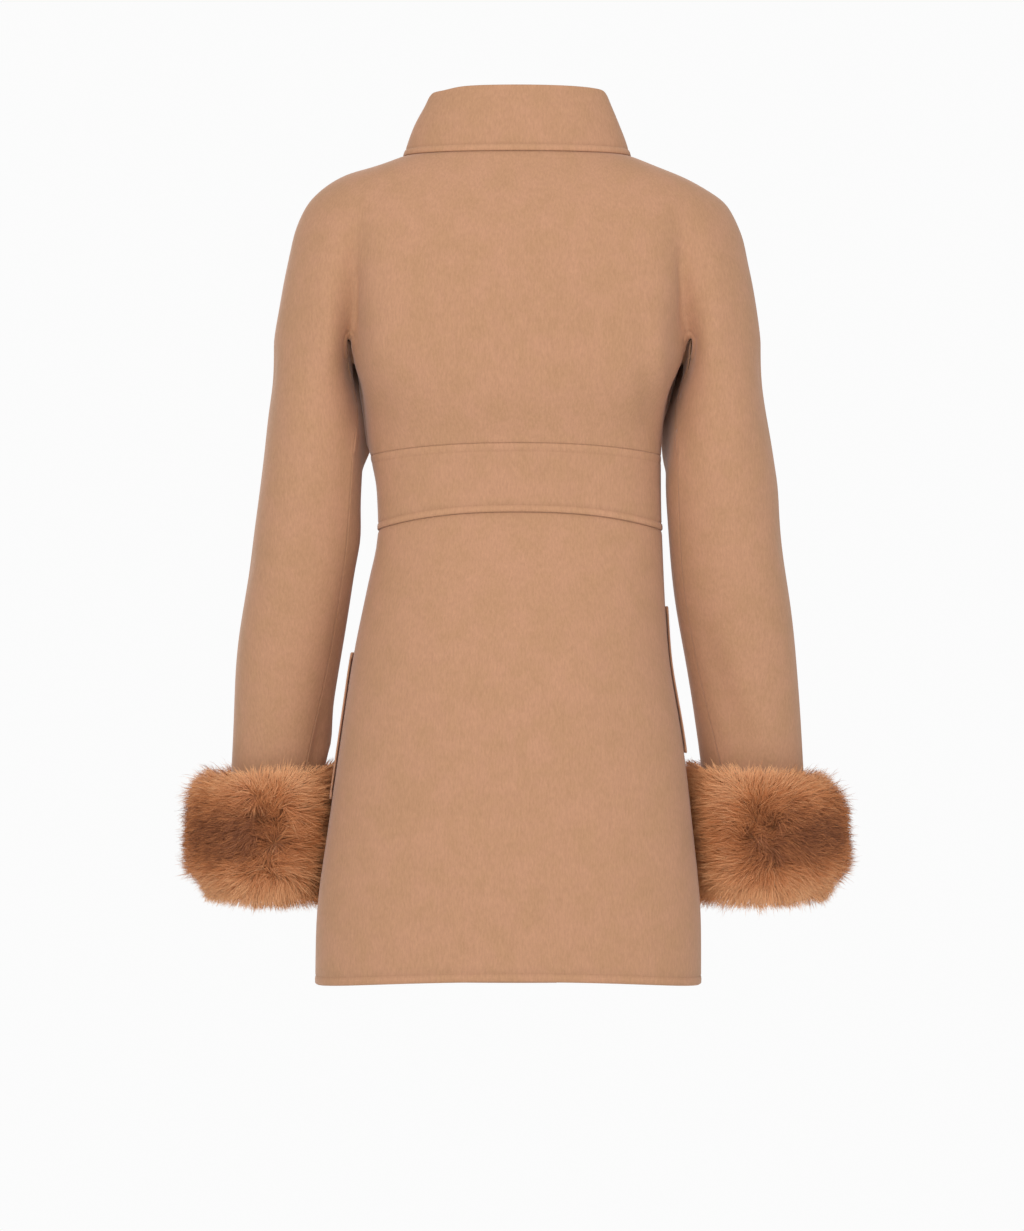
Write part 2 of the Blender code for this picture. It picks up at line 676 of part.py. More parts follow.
def make_panels():
    """Every cut piece of cloth, from the neck down."""
    side_row = len(YOKE_SHARES)
    panels = []

    back = Panel("back", WOOL_WALL, "wool")
    torso_seams = {"first_row": 0, "last_row": 0, "last_column": side_row}
    back.add(both_halves(torso_rows), dict(torso_seams, first_column=side_row), True)
    sleeve_seams = {"first_row": 0, "last_column": 0, "first_column": side_row}
    for side in (1, -1):
        back.add(sleeve_rows(side, 1), sleeve_seams, side < 0)
    panels.append(back)

    for side in (1, -1):
        name = side_name(side)
        front = Panel("front_" + name, WOOL_WALL, "wool")
        front.add(torso_rows(side, -1), torso_seams, side > 0)
        front.add(sleeve_rows(side, -1), sleeve_seams, side > 0)
        panels.append(front)

        gusset = Panel("gusset_" + name, GUSSET_WALL, "wool", GUSSET_SET_BACK, True)
        all_sides = {"first_row": 0, "last_row": 0, "first_column": 0, "last_column": 0}
        gusset.add(gusset_grid(side), all_sides, side < 0)
        panels.append(gusset)

    collar = Panel("collar", COLLAR_WALL, "collar")
    collar.add(collar_grid(), {"first_row": 0}, False)
    panels.append(collar)

    def band_rows(side, face):
        return [body_row(level, side, face) for level in BAND_LEVELS]

    band_seams = {"first_row": 0, "last_row": 0, "last_column": 0}
    back_seams = dict(band_seams, first_column=0)
    panels.append(Panel("waistband_back", WOOL_WALL, "collar").add(both_halves(band_rows), back_seams, True))
    skirt_seams = {"first_row": 0, "last_column": 0}
    skirt_back_seams = dict(skirt_seams, first_column=0)
    panels.append(Panel("skirt_back", WOOL_WALL, "wool").add(both_halves(skirt_rows), skirt_back_seams, True))
    for side in (1, -1):
        name = side_name(side)
        band = Panel("waistband_front_" + name, WOOL_WALL, "collar")
        panels.append(band.add(band_rows(side, -1), band_seams, side > 0))
        skirt = Panel("skirt_front_" + name, WOOL_WALL, "wool")
        panels.append(skirt.add(skirt_rows(side, -1), skirt_seams, side > 0))
        edge = Panel("pocket_edge_" + name, WOOL_WALL, "collar")
        panels.append(edge.add(pocket_grid(side), {}, side < 0))
    return panels


def main():
    for old in list(bpy.data.objects):
        bpy.data.objects.remove(old, do_unlink=True)
    collection = bpy.data.collections.new("wool_coat_with_fur_cuffs")
    bpy.context.scene.collection.children.link(collection)
    panels = make_panels()
    directions = grid_normals(panels)
    for panel in panels:
        add_object(panel.name, shell_mesh(panel, directions), panel.finish, collection)
    for side in (1, -1):
        name, shape = cuff_shape(side)
        add_object(name, shape, "fur", collection)


main()
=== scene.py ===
"""Looks of a women's wool coat with fur cuffs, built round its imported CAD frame.

The cloth: each cut piece starts from the outer face of its CAD node, is rounded and
creased, gets its seams, pressed edges and stitches, and then the wool's thickness.
The fur: each cuff is a soft dark pelt with a coat of short combed hairs on it.
Sizes are in millimetres where a name doesn't say otherwise, and the mesh is in metres.
The coat's back faces +Y, the wearer's left is +X, and Z = 0 is the height of the neck seam.
"""

import logging
import math
from dataclasses import dataclass, field
from enum import Enum

import bmesh
import bpy
import numpy as np
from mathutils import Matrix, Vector, noise
from mathutils.bvhtree import BVHTree
from mathutils.kdtree import KDTree


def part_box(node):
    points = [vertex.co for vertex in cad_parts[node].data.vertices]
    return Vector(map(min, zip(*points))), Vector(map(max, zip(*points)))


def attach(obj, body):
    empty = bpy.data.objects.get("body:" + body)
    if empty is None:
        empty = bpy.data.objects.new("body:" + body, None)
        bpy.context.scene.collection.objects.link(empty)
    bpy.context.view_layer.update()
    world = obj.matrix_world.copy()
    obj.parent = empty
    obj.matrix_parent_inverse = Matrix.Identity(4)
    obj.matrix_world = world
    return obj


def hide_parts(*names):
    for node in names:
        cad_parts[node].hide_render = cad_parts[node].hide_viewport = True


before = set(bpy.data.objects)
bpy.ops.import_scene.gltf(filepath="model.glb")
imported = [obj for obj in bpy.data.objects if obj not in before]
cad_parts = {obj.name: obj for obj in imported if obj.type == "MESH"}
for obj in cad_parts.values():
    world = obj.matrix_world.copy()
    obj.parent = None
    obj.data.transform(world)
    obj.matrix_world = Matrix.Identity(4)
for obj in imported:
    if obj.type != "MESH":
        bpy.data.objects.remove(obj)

LOG = logging.getLogger("coat")
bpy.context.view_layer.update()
BODY = "root"
MM = 0.001
TURN_SEED = 2
Colour = tuple[float, float, float]
Curve = tuple[tuple[float, float], ...]
WELD_REACH = 0.02
QUAD_FOLD = 40.0
QUAD_SKEW = 50.0
SEAM_REACH = 2.2
EDGE_SAMPLE = 0.5
SEAM_CALM = 14.0
WAVE_PLACE = Vector((3.1, 7.7, 1.9))
CUT_SNAP = 0.14
CORNER_TURN = -0.7


class Side(Enum):
    """A side of the wearer, with the sign of its X."""

    LEFT = 1
    RIGHT = -1

    @property
    def other(self) -> "Side":
        """The other side."""
        return Side(-self.value)

    @property
    def word(self) -> str:
        """The side's name in a node's name."""
        return self.name.lower()


class View(Enum):
    """The side that a crease is drawn from: across axis, its sign, depth axis and its sign."""

    BACK = (0, 1, 1, 1)
    FRONT = (0, 1, 1, -1)
    LEFT = (1, 1, 0, 1)
    RIGHT = (1, 1, 0, -1)


class Edge(Enum):
    """How an edge of a cut piece is finished."""

    SEAM = "pressed open seam"
    SET_IN = "gusset edge that reaches under the pieces round it"
    LAP_OVER = "stitched strip that laps over the next piece"
    LAP_UNDER = "edge that goes under the next piece"
    BAND_TOP = "flat seam with a faint stitched line below it"
    BUTTED = "edge that meets the band's flat seam"
    ROLLED = "open edge, turned and pressed"
    STITCHED = "open edge, turned and stitched"


@dataclass(frozen=True)
class EdgeProfile:
    """The relief beside an edge, in mm, and the painted shade and painted highlight there.

    Each curve gives a value at each distance from the edge. A tuck is how far the edge
    itself reaches past the panel's outline, to close the seam or go under the next piece.
    """

    lifts: Curve
    tones: Curve
    tuck: float = 0.0
    corner_tuck: float = 0.0
    stitch: float | None = None
    sinks_level: bool = False

    def lift(self, distance: float) -> float:
        """Lift at a distance from the edge."""
        return float(np.interp(distance, *zip(*self.lifts)))

    def tone(self, distance: float) -> float:
        """Painted light at a distance from the edge: 1 is the palest highlight and -1 the darkest shade.
        """
        return float(np.interp(distance, *zip(*self.tones)))

    @property
    def cuts(self) -> list[float]:
        """Distances at which the mesh gets a line of its own."""
        return [mark for mark, _ in self.lifts if mark > 0.0]


# the tones paint shade into seam grooves, stitch lines and edges under a lap, and highlight onto raised
# strips and rolled edges
PROFILES = {
    Edge.SEAM: EdgeProfile(
        lifts=((0.0, -0.8), (0.5, -0.4), (1.3, -0.08), (2.8, 0.0)),
        tones=((0.0, -0.8), (1.3, 0.3), (2.8, 0.4), (6.0, 0.0)),
        tuck=0.2,
    ),
    Edge.SET_IN: EdgeProfile(
        lifts=((0.0, -0.5), (1.2, -0.1), (2.4, 0.0)),
        tones=((0.0, -1.0), (1.5, 0.0)),
        tuck=1.8,
        corner_tuck=9.0,
    ),
    Edge.LAP_OVER: EdgeProfile(
        lifts=(
            (0.0, -0.5), (0.35, 0.3), (0.9, 0.75), (3.8, 0.85), (6.0, 0.4), (7.2, -0.55), (8.6, 0.0),
            (12.0, 0.0),
        ),
        tones=((0.0, -0.4), (0.9, 1.0), (5.2, 0.9), (7.2, -1.0), (8.6, -0.3), (12.0, 0.0)),
        tuck=0.2,
        stitch=7.2,
    ),
    Edge.LAP_UNDER: EdgeProfile(
        lifts=((0.0, -1.1), (0.8, -0.9), (2.0, -0.35), (4.5, 0.0)),
        tones=((0.0, -1.0), (0.8, -0.8), (2.5, -0.3), (6.0, 0.0)),
        tuck=0.9,
        sinks_level=True,
    ),
    Edge.BAND_TOP: EdgeProfile(
        lifts=((0.0, -0.5), (0.5, -0.1), (1.3, 0.15), (5.0, 0.12), (7.8, -0.3), (9.2, 0.0)),
        tones=((0.0, -0.7), (1.3, 0.5), (5.5, 0.3), (7.8, -0.6), (9.4, 0.0)),
        tuck=0.2,
        stitch=7.8,
    ),
    Edge.BUTTED: EdgeProfile(
        lifts=((0.0, -0.5), (0.6, -0.2), (1.6, 0.0)),
        tones=((0.0, -0.6), (1.6, 0.0)),
        tuck=0.2,
    ),
    Edge.ROLLED: EdgeProfile(
        lifts=((0.0, -1.0), (0.5, -0.35), (1.2, -0.05), (2.0, 0.0)),
        tones=((0.0, 0.5), (2.0, 0.3), (5.0, 0.0)),
    ),
    Edge.STITCHED: EdgeProfile(
        lifts=(
            (0.0, -0.9), (0.5, -0.25), (1.2, 0.15), (5.0, 0.35), (7.4, 0.1), (8.6, -0.5), (9.8, 0.0),
        ),
        tones=((0.0, 0.4), (5.0, 0.5), (8.6, -0.9), (10.5, 0.0)),
        stitch=8.6,
    ),
}


class Nodes:
    """Short hand for laying the nodes of one material."""

    def __init__(self, name: str) -> None:
        """Starts a material that has a Principled shader.

        Args:
            name: The material's name.
        """
        self.material = bpy.data.materials.new(name)
        self.material.use_nodes = True
        self.tree = self.material.node_tree
        self.shader = self.tree.nodes["Principled BSDF"]
        self.place = self.add("ShaderNodeTexCoord").outputs["Object"]

    def add(self, kind: str, **values: object) -> bpy.types.Node:
        """Adds a node.

        Args:
            kind: The node's Blender type.
            values: Its own settings, by attribute name.

        Returns:
            The new node.
        """
        node = self.tree.nodes.new(kind)
        for name, value in values.items():
            setattr(node, name, value)
        return node

    def link(self, source: bpy.types.NodeSocket, target: bpy.types.NodeSocket) -> None:
        """Joins two sockets."""
        self.tree.links.new(source, target)

    def stretched(self, scale: Colour) -> bpy.types.NodeSocket:
        """Object coordinates times a scale on each axis.

        Args:
            scale: The three scales.

        Returns:
            The stretched coordinates.
        """
        mapping = self.add("ShaderNodeMapping")
        mapping.inputs["Scale"].default_value = scale
        self.link(self.place, mapping.inputs["Vector"])
        return mapping.outputs["Vector"]

    def noise(
        self, vector: bpy.types.NodeSocket, scale: float, detail: float, roughness: float
    ) -> bpy.types.NodeSocket:
        """A noise pattern.

        Args:
            vector: Where the pattern is read.
            scale: Waves to the metre.
            detail: Layers of finer noise.
            roughness: How strong the finer layers are.

        Returns:
            The noise value, about 0.5 on average.
        """
        node = self.add("ShaderNodeTexNoise")
        node.inputs["Scale"].default_value = scale
        node.inputs["Detail"].default_value = detail
        node.inputs["Roughness"].default_value = roughness
        self.link(vector, node.inputs["Vector"])
        return node.outputs["Fac"]

    def ramp(
        self, value: bpy.types.NodeSocket, stops: tuple[tuple[float, Colour], ...]
    ) -> bpy.types.NodeSocket:
        """Colours by value.

        Args:
            value: The value that picks the colour.
            stops: Value and colour of each stop, from the lowest.

        Returns:
            The colour.
        """
        node = self.add("ShaderNodeValToRGB")
        elements = node.color_ramp.elements
        while len(elements) < len(stops):
            elements.new(1.0)
        for element, (mark, colour) in zip(elements, stops):
            element.position = mark
            element.color = (*colour, 1.0)
        self.link(value, node.inputs["Fac"])
        return node.outputs["Color"]

    def bump(
        self,
        height: bpy.types.NodeSocket,
        strength: float,
        depth: float,
        under: bpy.types.NodeSocket | None = None,
    ) -> bpy.types.NodeSocket:
        """Bumps the surface.

        Args:
            height: The height pattern.
            strength: From 0 to 1.
            depth: Height of the bumps in mm.
            under: Normal of a coarser bump under this one.

        Returns:
            The bumped normal.
        """
        node = self.add("ShaderNodeBump")
        node.inputs["Strength"].default_value = strength
        node.inputs["Distance"].default_value = depth * MM
        self.link(height, node.inputs["Height"])
        if under is not None:
            self.link(under, node.inputs["Normal"])
        return node.outputs["Normal"]

    def shade(
        self,
        colour: bpy.types.NodeSocket,
        normal: bpy.types.NodeSocket | None = None,
        **values: float | tuple[float, ...],
    ) -> bpy.types.Material:
        """Feeds the shader.

        Args:
            colour: The base colour.
            normal: The bumped normal, if there is one.
            values: The shader's uniform values by socket name, with _ for each space.

        Returns:
            The finished material.
        """
        self.link(colour, self.shader.inputs["Base Color"])
        if normal is not None:
            self.link(normal, self.shader.inputs["Normal"])
        for name, value in values.items():
            self.shader.inputs[name.replace("_", " ")].default_value = value
        return self.material


@dataclass(frozen=True)
class WoolFinish:
    """Brushed wool coating: short nap, faint warm mottling, pale bloom at the edges."""

    name: str
    slot: str
    ochre: Colour = (0.465, 0.255, 0.144)
    rosy: Colour = (0.495, 0.266, 0.159)
    bloom: Colour = (1.0, 0.84, 0.77)
    bloom_weight: float = 0.28
    bloom_spread: float = 0.42
    mottle_scale: float = 34.0
    nap_scale: float = 560.0
    nap_stretch: Colour = (1.0, 1.0, 0.28)
    nap_shade: Colour = (0.9, 0.89, 0.88)
    nap_light: Colour = (1.08, 1.08, 1.08)
    felt_scale: float = 560.0 / 3.0
    fibre_scale: float = 1500.0
    # how strongly the painted seam shade and highlight scale the colour, and the mesh attribute that
    # holds them
    seam_shading_gain: float = 0.075
    press: str = "press"

    def material(self) -> bpy.types.Material:
        """The finish as a material."""
        nodes = Nodes(self.name)
        mottle = nodes.noise(nodes.place, self.mottle_scale, 4.0, 0.62)
        colour = nodes.ramp(mottle, ((0.38, self.ochre), (0.62, self.rosy)))
        nap = nodes.noise(nodes.stretched(self.nap_stretch), self.nap_scale, 3.0, 0.7)
        tone = nodes.ramp(nap, ((0.3, self.nap_shade), (0.7, self.nap_light)))
        mix = nodes.add("ShaderNodeMix", data_type="RGBA", blend_type="MULTIPLY")
        mix.inputs[0].default_value = 1.0
        nodes.link(colour, mix.inputs[6])
        nodes.link(tone, mix.inputs[7])
        felt = nodes.noise(nodes.place, self.felt_scale, 3.0, 0.6)
        fibre = nodes.noise(nodes.stretched(self.nap_stretch), self.fibre_scale, 3.0, 0.7)
        coarse = nodes.bump(felt, strength=0.2, depth=0.5)
        # the colour carries painted shade and highlight along the seams and edges
        return nodes.shade(
            self.pressed(nodes, mix.outputs[2]),
            nodes.bump(fibre, strength=0.5, depth=0.3, under=coarse),
            Roughness=0.92,
            Specular_IOR_Level=0.2,
            Sheen_Weight=self.bloom_weight,
            Sheen_Roughness=self.bloom_spread,
            Sheen_Tint=(*self.bloom, 1.0),
        )

    def pressed(
        self, nodes: Nodes, colour: bpy.types.NodeSocket
    ) -> bpy.types.NodeSocket:
        """The colour, with painted shade and painted highlight along the seams and edges.

        Args:
            nodes: The material's nodes.
            colour: The wool's own colour.

        Returns:
            The colour by the press kept on the mesh.
        """
        press = nodes.add("ShaderNodeAttribute", attribute_name=self.press)
        gain = nodes.add("ShaderNodeMath", operation="MULTIPLY_ADD")
        gain.inputs[1].default_value = self.seam_shading_gain
        gain.inputs[2].default_value = 1.0
        nodes.link(press.outputs["Fac"], gain.inputs[0])
        scaled = nodes.add("ShaderNodeVectorMath", operation="SCALE")
        nodes.link(colour, scaled.inputs[0])
        nodes.link(gain.outputs["Value"], scaled.inputs["Scale"])
        return scaled.outputs["Vector"]


@dataclass(frozen=True)
class ThreadFinish:
    """Matt sewing thread, a shade deeper than the wool."""

    name: str = "camel_thread"
    light: Colour = (0.5, 0.27, 0.155)
    dark: Colour = (0.4, 0.2, 0.11)

    def material(self) -> bpy.types.Material:
        """The finish as a material."""
        nodes = Nodes(self.name)
        twist = nodes.noise(nodes.place, 1500.0, 2.0, 0.5)
        colour = nodes.ramp(twist, ((0.35, self.dark), (0.65, self.light)))
        return nodes.shade(colour, nodes.bump(twist, strength=0.4, depth=0.15), Roughness=0.8)


@dataclass(frozen=True)
class FurFinish:
    """Fur that runs from dark through red brown to gold, by the tone kept on each hair, with painted
    light on the inner side and the outer edge.
    """

    name: str = "fur_hair"
    dark: Colour = (0.23, 0.068, 0.02)
    brown: Colour = (0.57, 0.2, 0.064)
    gold: Colour = (0.86, 0.455, 0.22)
    gloss: Colour = (1.0, 0.8, 0.6)
    tone: str = "tone"

    def material(self) -> bpy.types.Material:
        """The finish as a material."""
        nodes = Nodes(self.name)
        tone = nodes.add("ShaderNodeAttribute", attribute_name=self.tone)
        stops = ((0.0, self.dark), (0.45, self.brown), (1.0, self.gold))
        colour = nodes.ramp(tone.outputs["Fac"], stops)
        return nodes.shade(
            colour,
            Roughness=0.5,
            Specular_IOR_Level=0.35,
            Sheen_Weight=0.08,
            Sheen_Roughness=0.4,
            Sheen_Tint=(*self.gloss, 1.0),
        )


@dataclass(frozen=True)
class PeltFinish:
    """The dense underfur that shows between the hairs."""

    name: str = "fur_underfur"
    dark: Colour = (0.17, 0.06, 0.02)
    brown: Colour = (0.32, 0.13, 0.05)

    def material(self) -> bpy.types.Material:
        """The finish as a material."""
        nodes = Nodes(self.name)
        down = nodes.noise(nodes.place, 700.0, 4.0, 0.7)
        colour = nodes.ramp(down, ((0.3, self.dark), (0.7, self.brown)))
        return nodes.shade(colour, nodes.bump(down, strength=0.8, depth=1.2), Roughness=0.95)


@dataclass(frozen=True)
class FloorFinish:
    """Plain pale painted floor."""

    name: str = "studio_floor"
    shade: Colour = (0.86, 0.86, 0.86)
    light: Colour = (0.9, 0.9, 0.9)

    def material(self) -> bpy.types.Material:
        """The finish as a material."""
        nodes = Nodes(self.name)
        wash = nodes.noise(nodes.place, 3.0, 2.0, 0.5)
        colour = nodes.ramp(wash, ((0.35, self.shade), (0.65, self.light)))
        return nodes.shade(colour, Roughness=0.9)


@dataclass(frozen=True)
class Crease:
    """A soft trough or ridge in the cloth, drawn on the view that shows it best.

    The path's points are (across, level) in mm: across is X from the front or back, and
    Y from a side. A positive lift is a ridge and a negative one a trough.
    """

    view: View
    path: Curve
    lift: float
    width: float


CREASES = {
    View.BACK: (
        # soft hollows above the folds where the back turns into the sleeves
        (((158, -62), (161, -84), (163, -112)), -0.7, 13.0),
        (((-160, -66), (-165, -90), (-168, -118)), -0.8, 14.0),
        (((166, -84), (163, -125), (161, -186)), -2.2, 5.0),
        (((-166, -92), (-167, -135), (-166, -190)), -2.2, 5.0),
        # the long soft crease down the right of the back, and slighter ones beside it
        (((-122, -150), (-129, -225), (-133, -288)), -1.8, 8.0),
        (((-140, -160), (-146, -230), (-146, -282)), 1.3, 8.0),
        (((128, -190), (134, -240), (137, -285)), -0.8, 9.0),
        (((70, -225), (76, -262), (74, -292)), -0.6, 9.0),
        (((-52, -238), (-58, -268), (-56, -292)), -0.5, 8.0),
        (((-20, -60), (4, -66), (34, -58)), -0.5, 10.0),
        # sleeves: the diagonal fold on the right one, elbows, and drag lines to the cuffs
        (((-188, -470), (-212, -545), (-243, -625)), -1.6, 10.0),
        (((-206, -470), (-230, -545), (-258, -615)), 1.0, 11.0),
        (((198, -365), (236, -455), (274, -552)), -1.1, 13.0),
        (((190, -440), (214, -520), (232, -600)), 0.9, 11.0),
        (((250, -250), (238, -300), (205, -335)), -0.9, 10.0),
        (((-252, -262), (-236, -310), (-204, -330)), -1.0, 9.0),
        (((-262, -345), (-246, -372), (-214, -392)), -0.8, 8.0),
        (((201, -556), (207, -595), (215, -632)), -3.0, 5.0),
        (((193, -560), (198, -595), (204, -628)), 1.9, 6.0),
        # skirt back: long faint flutes
        (((92, -430), (104, -560), (120, -700)), -0.7, 16.0),
        (((-84, -420), (-96, -540), (-118, -690)), -0.8, 15.0),
        (((14, -520), (22, -640), (18, -760)), -0.5, 18.0),
        (((-150, -560), (-158, -660), (-164, -760)), 0.6, 14.0),
    ),
    View.FRONT: (
        # front: folds over the lap and down the skirt
        (((118, -170), (104, -232), (98, -286)), -1.0, 10.0),
        (((-112, -178), (-102, -236), (-92, -288)), -1.1, 9.0),
        (((62, -236), (58, -266), (60, -292)), -0.7, 8.0),
        (((-64, -228), (-56, -262), (-54, -290)), -0.6, 9.0),
        (((96, -430), (106, -560), (112, -680)), -0.8, 15.0),
        (((-88, -425), (-102, -545), (-114, -700)), -0.9, 15.0),
        (((-24, -500), (-30, -610), (-28, -720)), -0.5, 14.0),
        (((222, -390), (236, -410), (252, -404)), -1.2, 9.0),
        (((-220, -376), (-236, -398), (-250, -392)), -1.1, 8.0),
        (((206, -424), (226, -444), (246, -440)), -0.9, 9.0),
        (((-208, -420), (-226, -436), (-246, -428)), -0.8, 9.0),
    ),
    View.LEFT: (
        # the outside of both sleeves
        (((24, -180), (8, -222), (-14, -240)), -0.9, 12.0),
        (((16, -400), (-14, -424), (-40, -428)), -1.0, 10.0),
    ),
    View.RIGHT: (
        (((22, -190), (4, -228), (-18, -250)), -1.0, 12.0),
        (((14, -386), (-16, -412), (-42, -420)), -1.0, 10.0),
    ),
}


@dataclass(frozen=True)
class Ease:
    """Cloth eased to one side about a line through the coat, in mm.

    Only cloth that faces the aim goes, and none of it at a seam, unless the whole place goes.
    An ease can be for the pieces alone whose names start with a word.
    """

    path: tuple[Colour, ...]
    aim: Colour
    lift: float
    width: float
    whole: bool = False
    only: str = ""
    facing: float = 0.35

    def share(self, point: Vector) -> float:
        """How near a point is to the line, from 0 to 1.

        Args:
            point: A point of the cloth, in metres.

        Returns:
            The share of the lift that the point gets.
        """
        spread = gap_to_line(point / MM, self.path) / self.width
        return math.exp(-0.5 * spread * spread)

    def at(self, point: Vector, normal: Vector) -> Vector:
        """Move of a point of the cloth.

        Args:
            point: The point, in metres.
            normal: The cloth's normal there.

        Returns:
            The move in mm.
        """
        aim = Vector(self.aim).normalized()
        turned = 1.0 if self.whole else normal.dot(aim) / self.facing
        return aim * (self.lift * self.share(point) * min(1.0, max(0.0, turned)))


EASES = (
    # under the arms the sleeve's front fills out towards the body, and the body's side to it
    Ease(((163, -15, -205), (159, -15, -227), (155, -15, -248), (151, -13, -292)), (1, 0, 0), 4.6, 14.0),
    Ease(
        ((172, -44, -210), (171, -45, -227), (164, -47, -248), (158, -46, -272), (159, -40, -300)),
        (-1, 0, 0), 9.8, 16.0,
    ),
    Ease(((-164, -15, -205), (-158, -15, -227), (-152, -14, -250)), (-1, 0, 0), 4.6, 14.0),
    Ease(((-174, -46, -210), (-172, -48, -227), (-163, -50, -250)), (1, 0, 0), 11.5, 16.0),
    # the gussets' corners reach up between the pieces round them, and open a little at the back
    Ease(((169, 24, -203), (172, 31, -199)), (0, 0.3, 1), 17.0, 10.0, whole=True, only="gusset"),
    Ease(((169, -28, -203), (172, -36, -199)), (0, -0.5, 1), 16.0, 10.0, whole=True, only="gusset"),
    Ease(((-171, 24, -203), (-175, 31, -199)), (0, 0.3, 1), 17.0, 10.0, whole=True, only="gusset"),
    Ease(((-171, -28, -203), (-175, -36, -199)), (0, -0.5, 1), 16.0, 10.0, whole=True, only="gusset"),
    Ease(((171, 38, -190), (171, 32, -205), (170, 22, -218)), (1, 0.3, 0), 3.0, 9.0, whole=True),
    Ease(((-175, 40, -190), (-176, 32, -205), (-174, 22, -218)), (-1, 0.3, 0), 3.5, 9.0, whole=True),
    # the inner side of both sleeves
    Ease(
        (
            (165, -3, -396), (170, -9, -431), (177, -18, -472), (184, -26, -513),
            (192, -34, -554), (198, -45, -610),
        ),
        (-1, 0, 0), 5.2, 24.0,
    ),
    Ease(
        (
            (-154, 6, -350), (-156, -1, -390), (-160, -9, -431), (-166, -18, -472),
            (-174, -26, -513), (-182, -34, -554), (-188, -45, -610),
        ),
        (1, 0, 0), 3.4, 24.0,
    ),
    # the outer side of both sleeves and the shoulders
    Ease(((176, -2, -20), (206, -2, -42), (222, -2, -72)), (0.7, 0, 0.7), 2.6, 18.0, whole=True),
    Ease(((247, -2, -195), (252, -3, -255)), (1, 0, 0), 2.2, 28.0, whole=True),
    Ease(((-213, -2, -54), (-225, -2, -80)), (-0.85, 0, 0.5), 5.0, 19.0, whole=True),
    Ease(((-243, -2, -130), (-254, -3, -215), (-262, -4, -325)), (-1, 0, 0), 3.8, 28.0, whole=True),
    # the waist's left side and the collar's left corner
    Ease(((147, 0, -342), (147, 0, -392)), (-1, 0, 0), 3.2, 20.0, whole=True),
    Ease(((80, 28, 69), (94, 12, 58)), (-0.6, 0, -0.8), 3.2, 15.0, whole=True),
)
# the lines where the back and the fronts turn into the sleeves, smoothed in closer and closer rounds
FOLDS = (
    ((162, 66, -84), (163, 60, -120), (164, 51, -150), (166, 42, -180)),
    ((-164, 66, -90), (-166, 61, -120), (-170, 49, -150), (-170, 41, -180)),
    ((163, -72, -90), (165, -69, -120), (166, -60, -150), (165, -52, -180)),
    ((-166, -72, -90), (-171, -65, -120), (-170, -58, -150), (-170, -51, -180)),
)
FOLD_REACHES = (30.0, 24.0, 18.0, 12.0)
FOLD_ROUNDING = 6


def gap_to_line(point: Vector, path: tuple[Colour, ...]) -> float:
    """Shortest way from a point to a line of straight pieces.

    Args:
        point: The point.
        path: The line's corners.

    Returns:
        The distance, in the units of both.
    """
    nearest = math.inf
    for start, end in zip(map(Vector, path), map(Vector, path[1:])):
        along = end - start
        share = min(1.0, max(0.0, (point - start).dot(along) / along.length_squared))
        nearest = min(nearest, (point - start - along * share).length)
    return nearest


class CreaseMap:
    """All creases laid on the coat's outside."""

    step: float = 4.0
    reach: float = 3.0
    far: float = 1.0
    depth: float = 1.35
    fewest: int = 4
    taper_curve: float = 0.7

    def __init__(self, creases: list[Crease], outside: BVHTree) -> None:
        """Lays each crease's path on the cloth.

        Args:
            creases: The creases to lay.
            outside: The outside of all the cloth.
        """
        self.creases = creases
        self.trees: list[KDTree] = []
        self.normals: list[list[Vector]] = []
        for crease in creases:
            points, normals = self.lay(crease, outside)
            self.trees.append(search_tree(points))
            self.normals.append(normals)

    def lay(self, crease: Crease, outside: BVHTree) -> tuple[list[Vector], list[Vector]]:
        """Casts a crease's path on the cloth.

        Args:
            crease: The crease.
            outside: The outside of all the cloth.

        Returns:
            The points on the cloth and its normals there.
        """
        across_axis, across_sign, depth_axis, depth_sign = crease.view.value
        levels = [level for _, level in crease.path]
        length = abs(levels[0] - levels[-1]) + abs(crease.path[0][0] - crease.path[-1][0])
        count = max(self.fewest, int(length / self.step))
        marks = np.linspace(0.0, 1.0, len(levels))
        points, normals = [], []
        for share in np.linspace(0.0, 1.0, count):
            start = Vector()
            across = np.interp(share, marks, [place for place, _ in crease.path])
            start[across_axis] = across_sign * across * MM
            start[2] = np.interp(share, marks, levels) * MM
            start[depth_axis] = depth_sign * self.far
            aim = Vector()
            aim[depth_axis] = -depth_sign
            point, normal, _, _ = outside.ray_cast(start, aim)
            if point is not None:
                points.append(point)
                normals.append(normal)
        return points, normals

    def at(self, point: Vector, normal: Vector) -> float:
        """Lift from all the creases near a point.

        Args:
            point: A point of the cloth, in metres.
            normal: The cloth's normal there.

        Returns:
            The lift in mm.
        """
        lift = 0.0
        for crease, tree, normals in zip(self.creases, self.trees, self.normals):
            if not normals:
                continue
            _, index, distance = tree.find(point)
            spread = distance / MM / crease.width
            if spread > self.reach:
                continue
            share = (index + 0.5) / len(normals)
            taper = math.sin(math.pi * share) ** self.taper_curve
            agreement = max(0.0, normal.dot(normals[index])) ** 2
            lift += crease.lift * taper * agreement * math.exp(-0.5 * spread * spread)
        return lift * self.depth


def link_piece(name: str, mesh: bpy.types.Mesh) -> bpy.types.Object:
    """Makes a mesh a piece of the coat that rides its body.

    Args:
        name: The piece's name.
        mesh: Its mesh, in place.

    Returns:
        The new object.
    """
    piece = bpy.data.objects.new(name, mesh)
    bpy.context.scene.collection.objects.link(piece)
    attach(piece, BODY)
    return piece


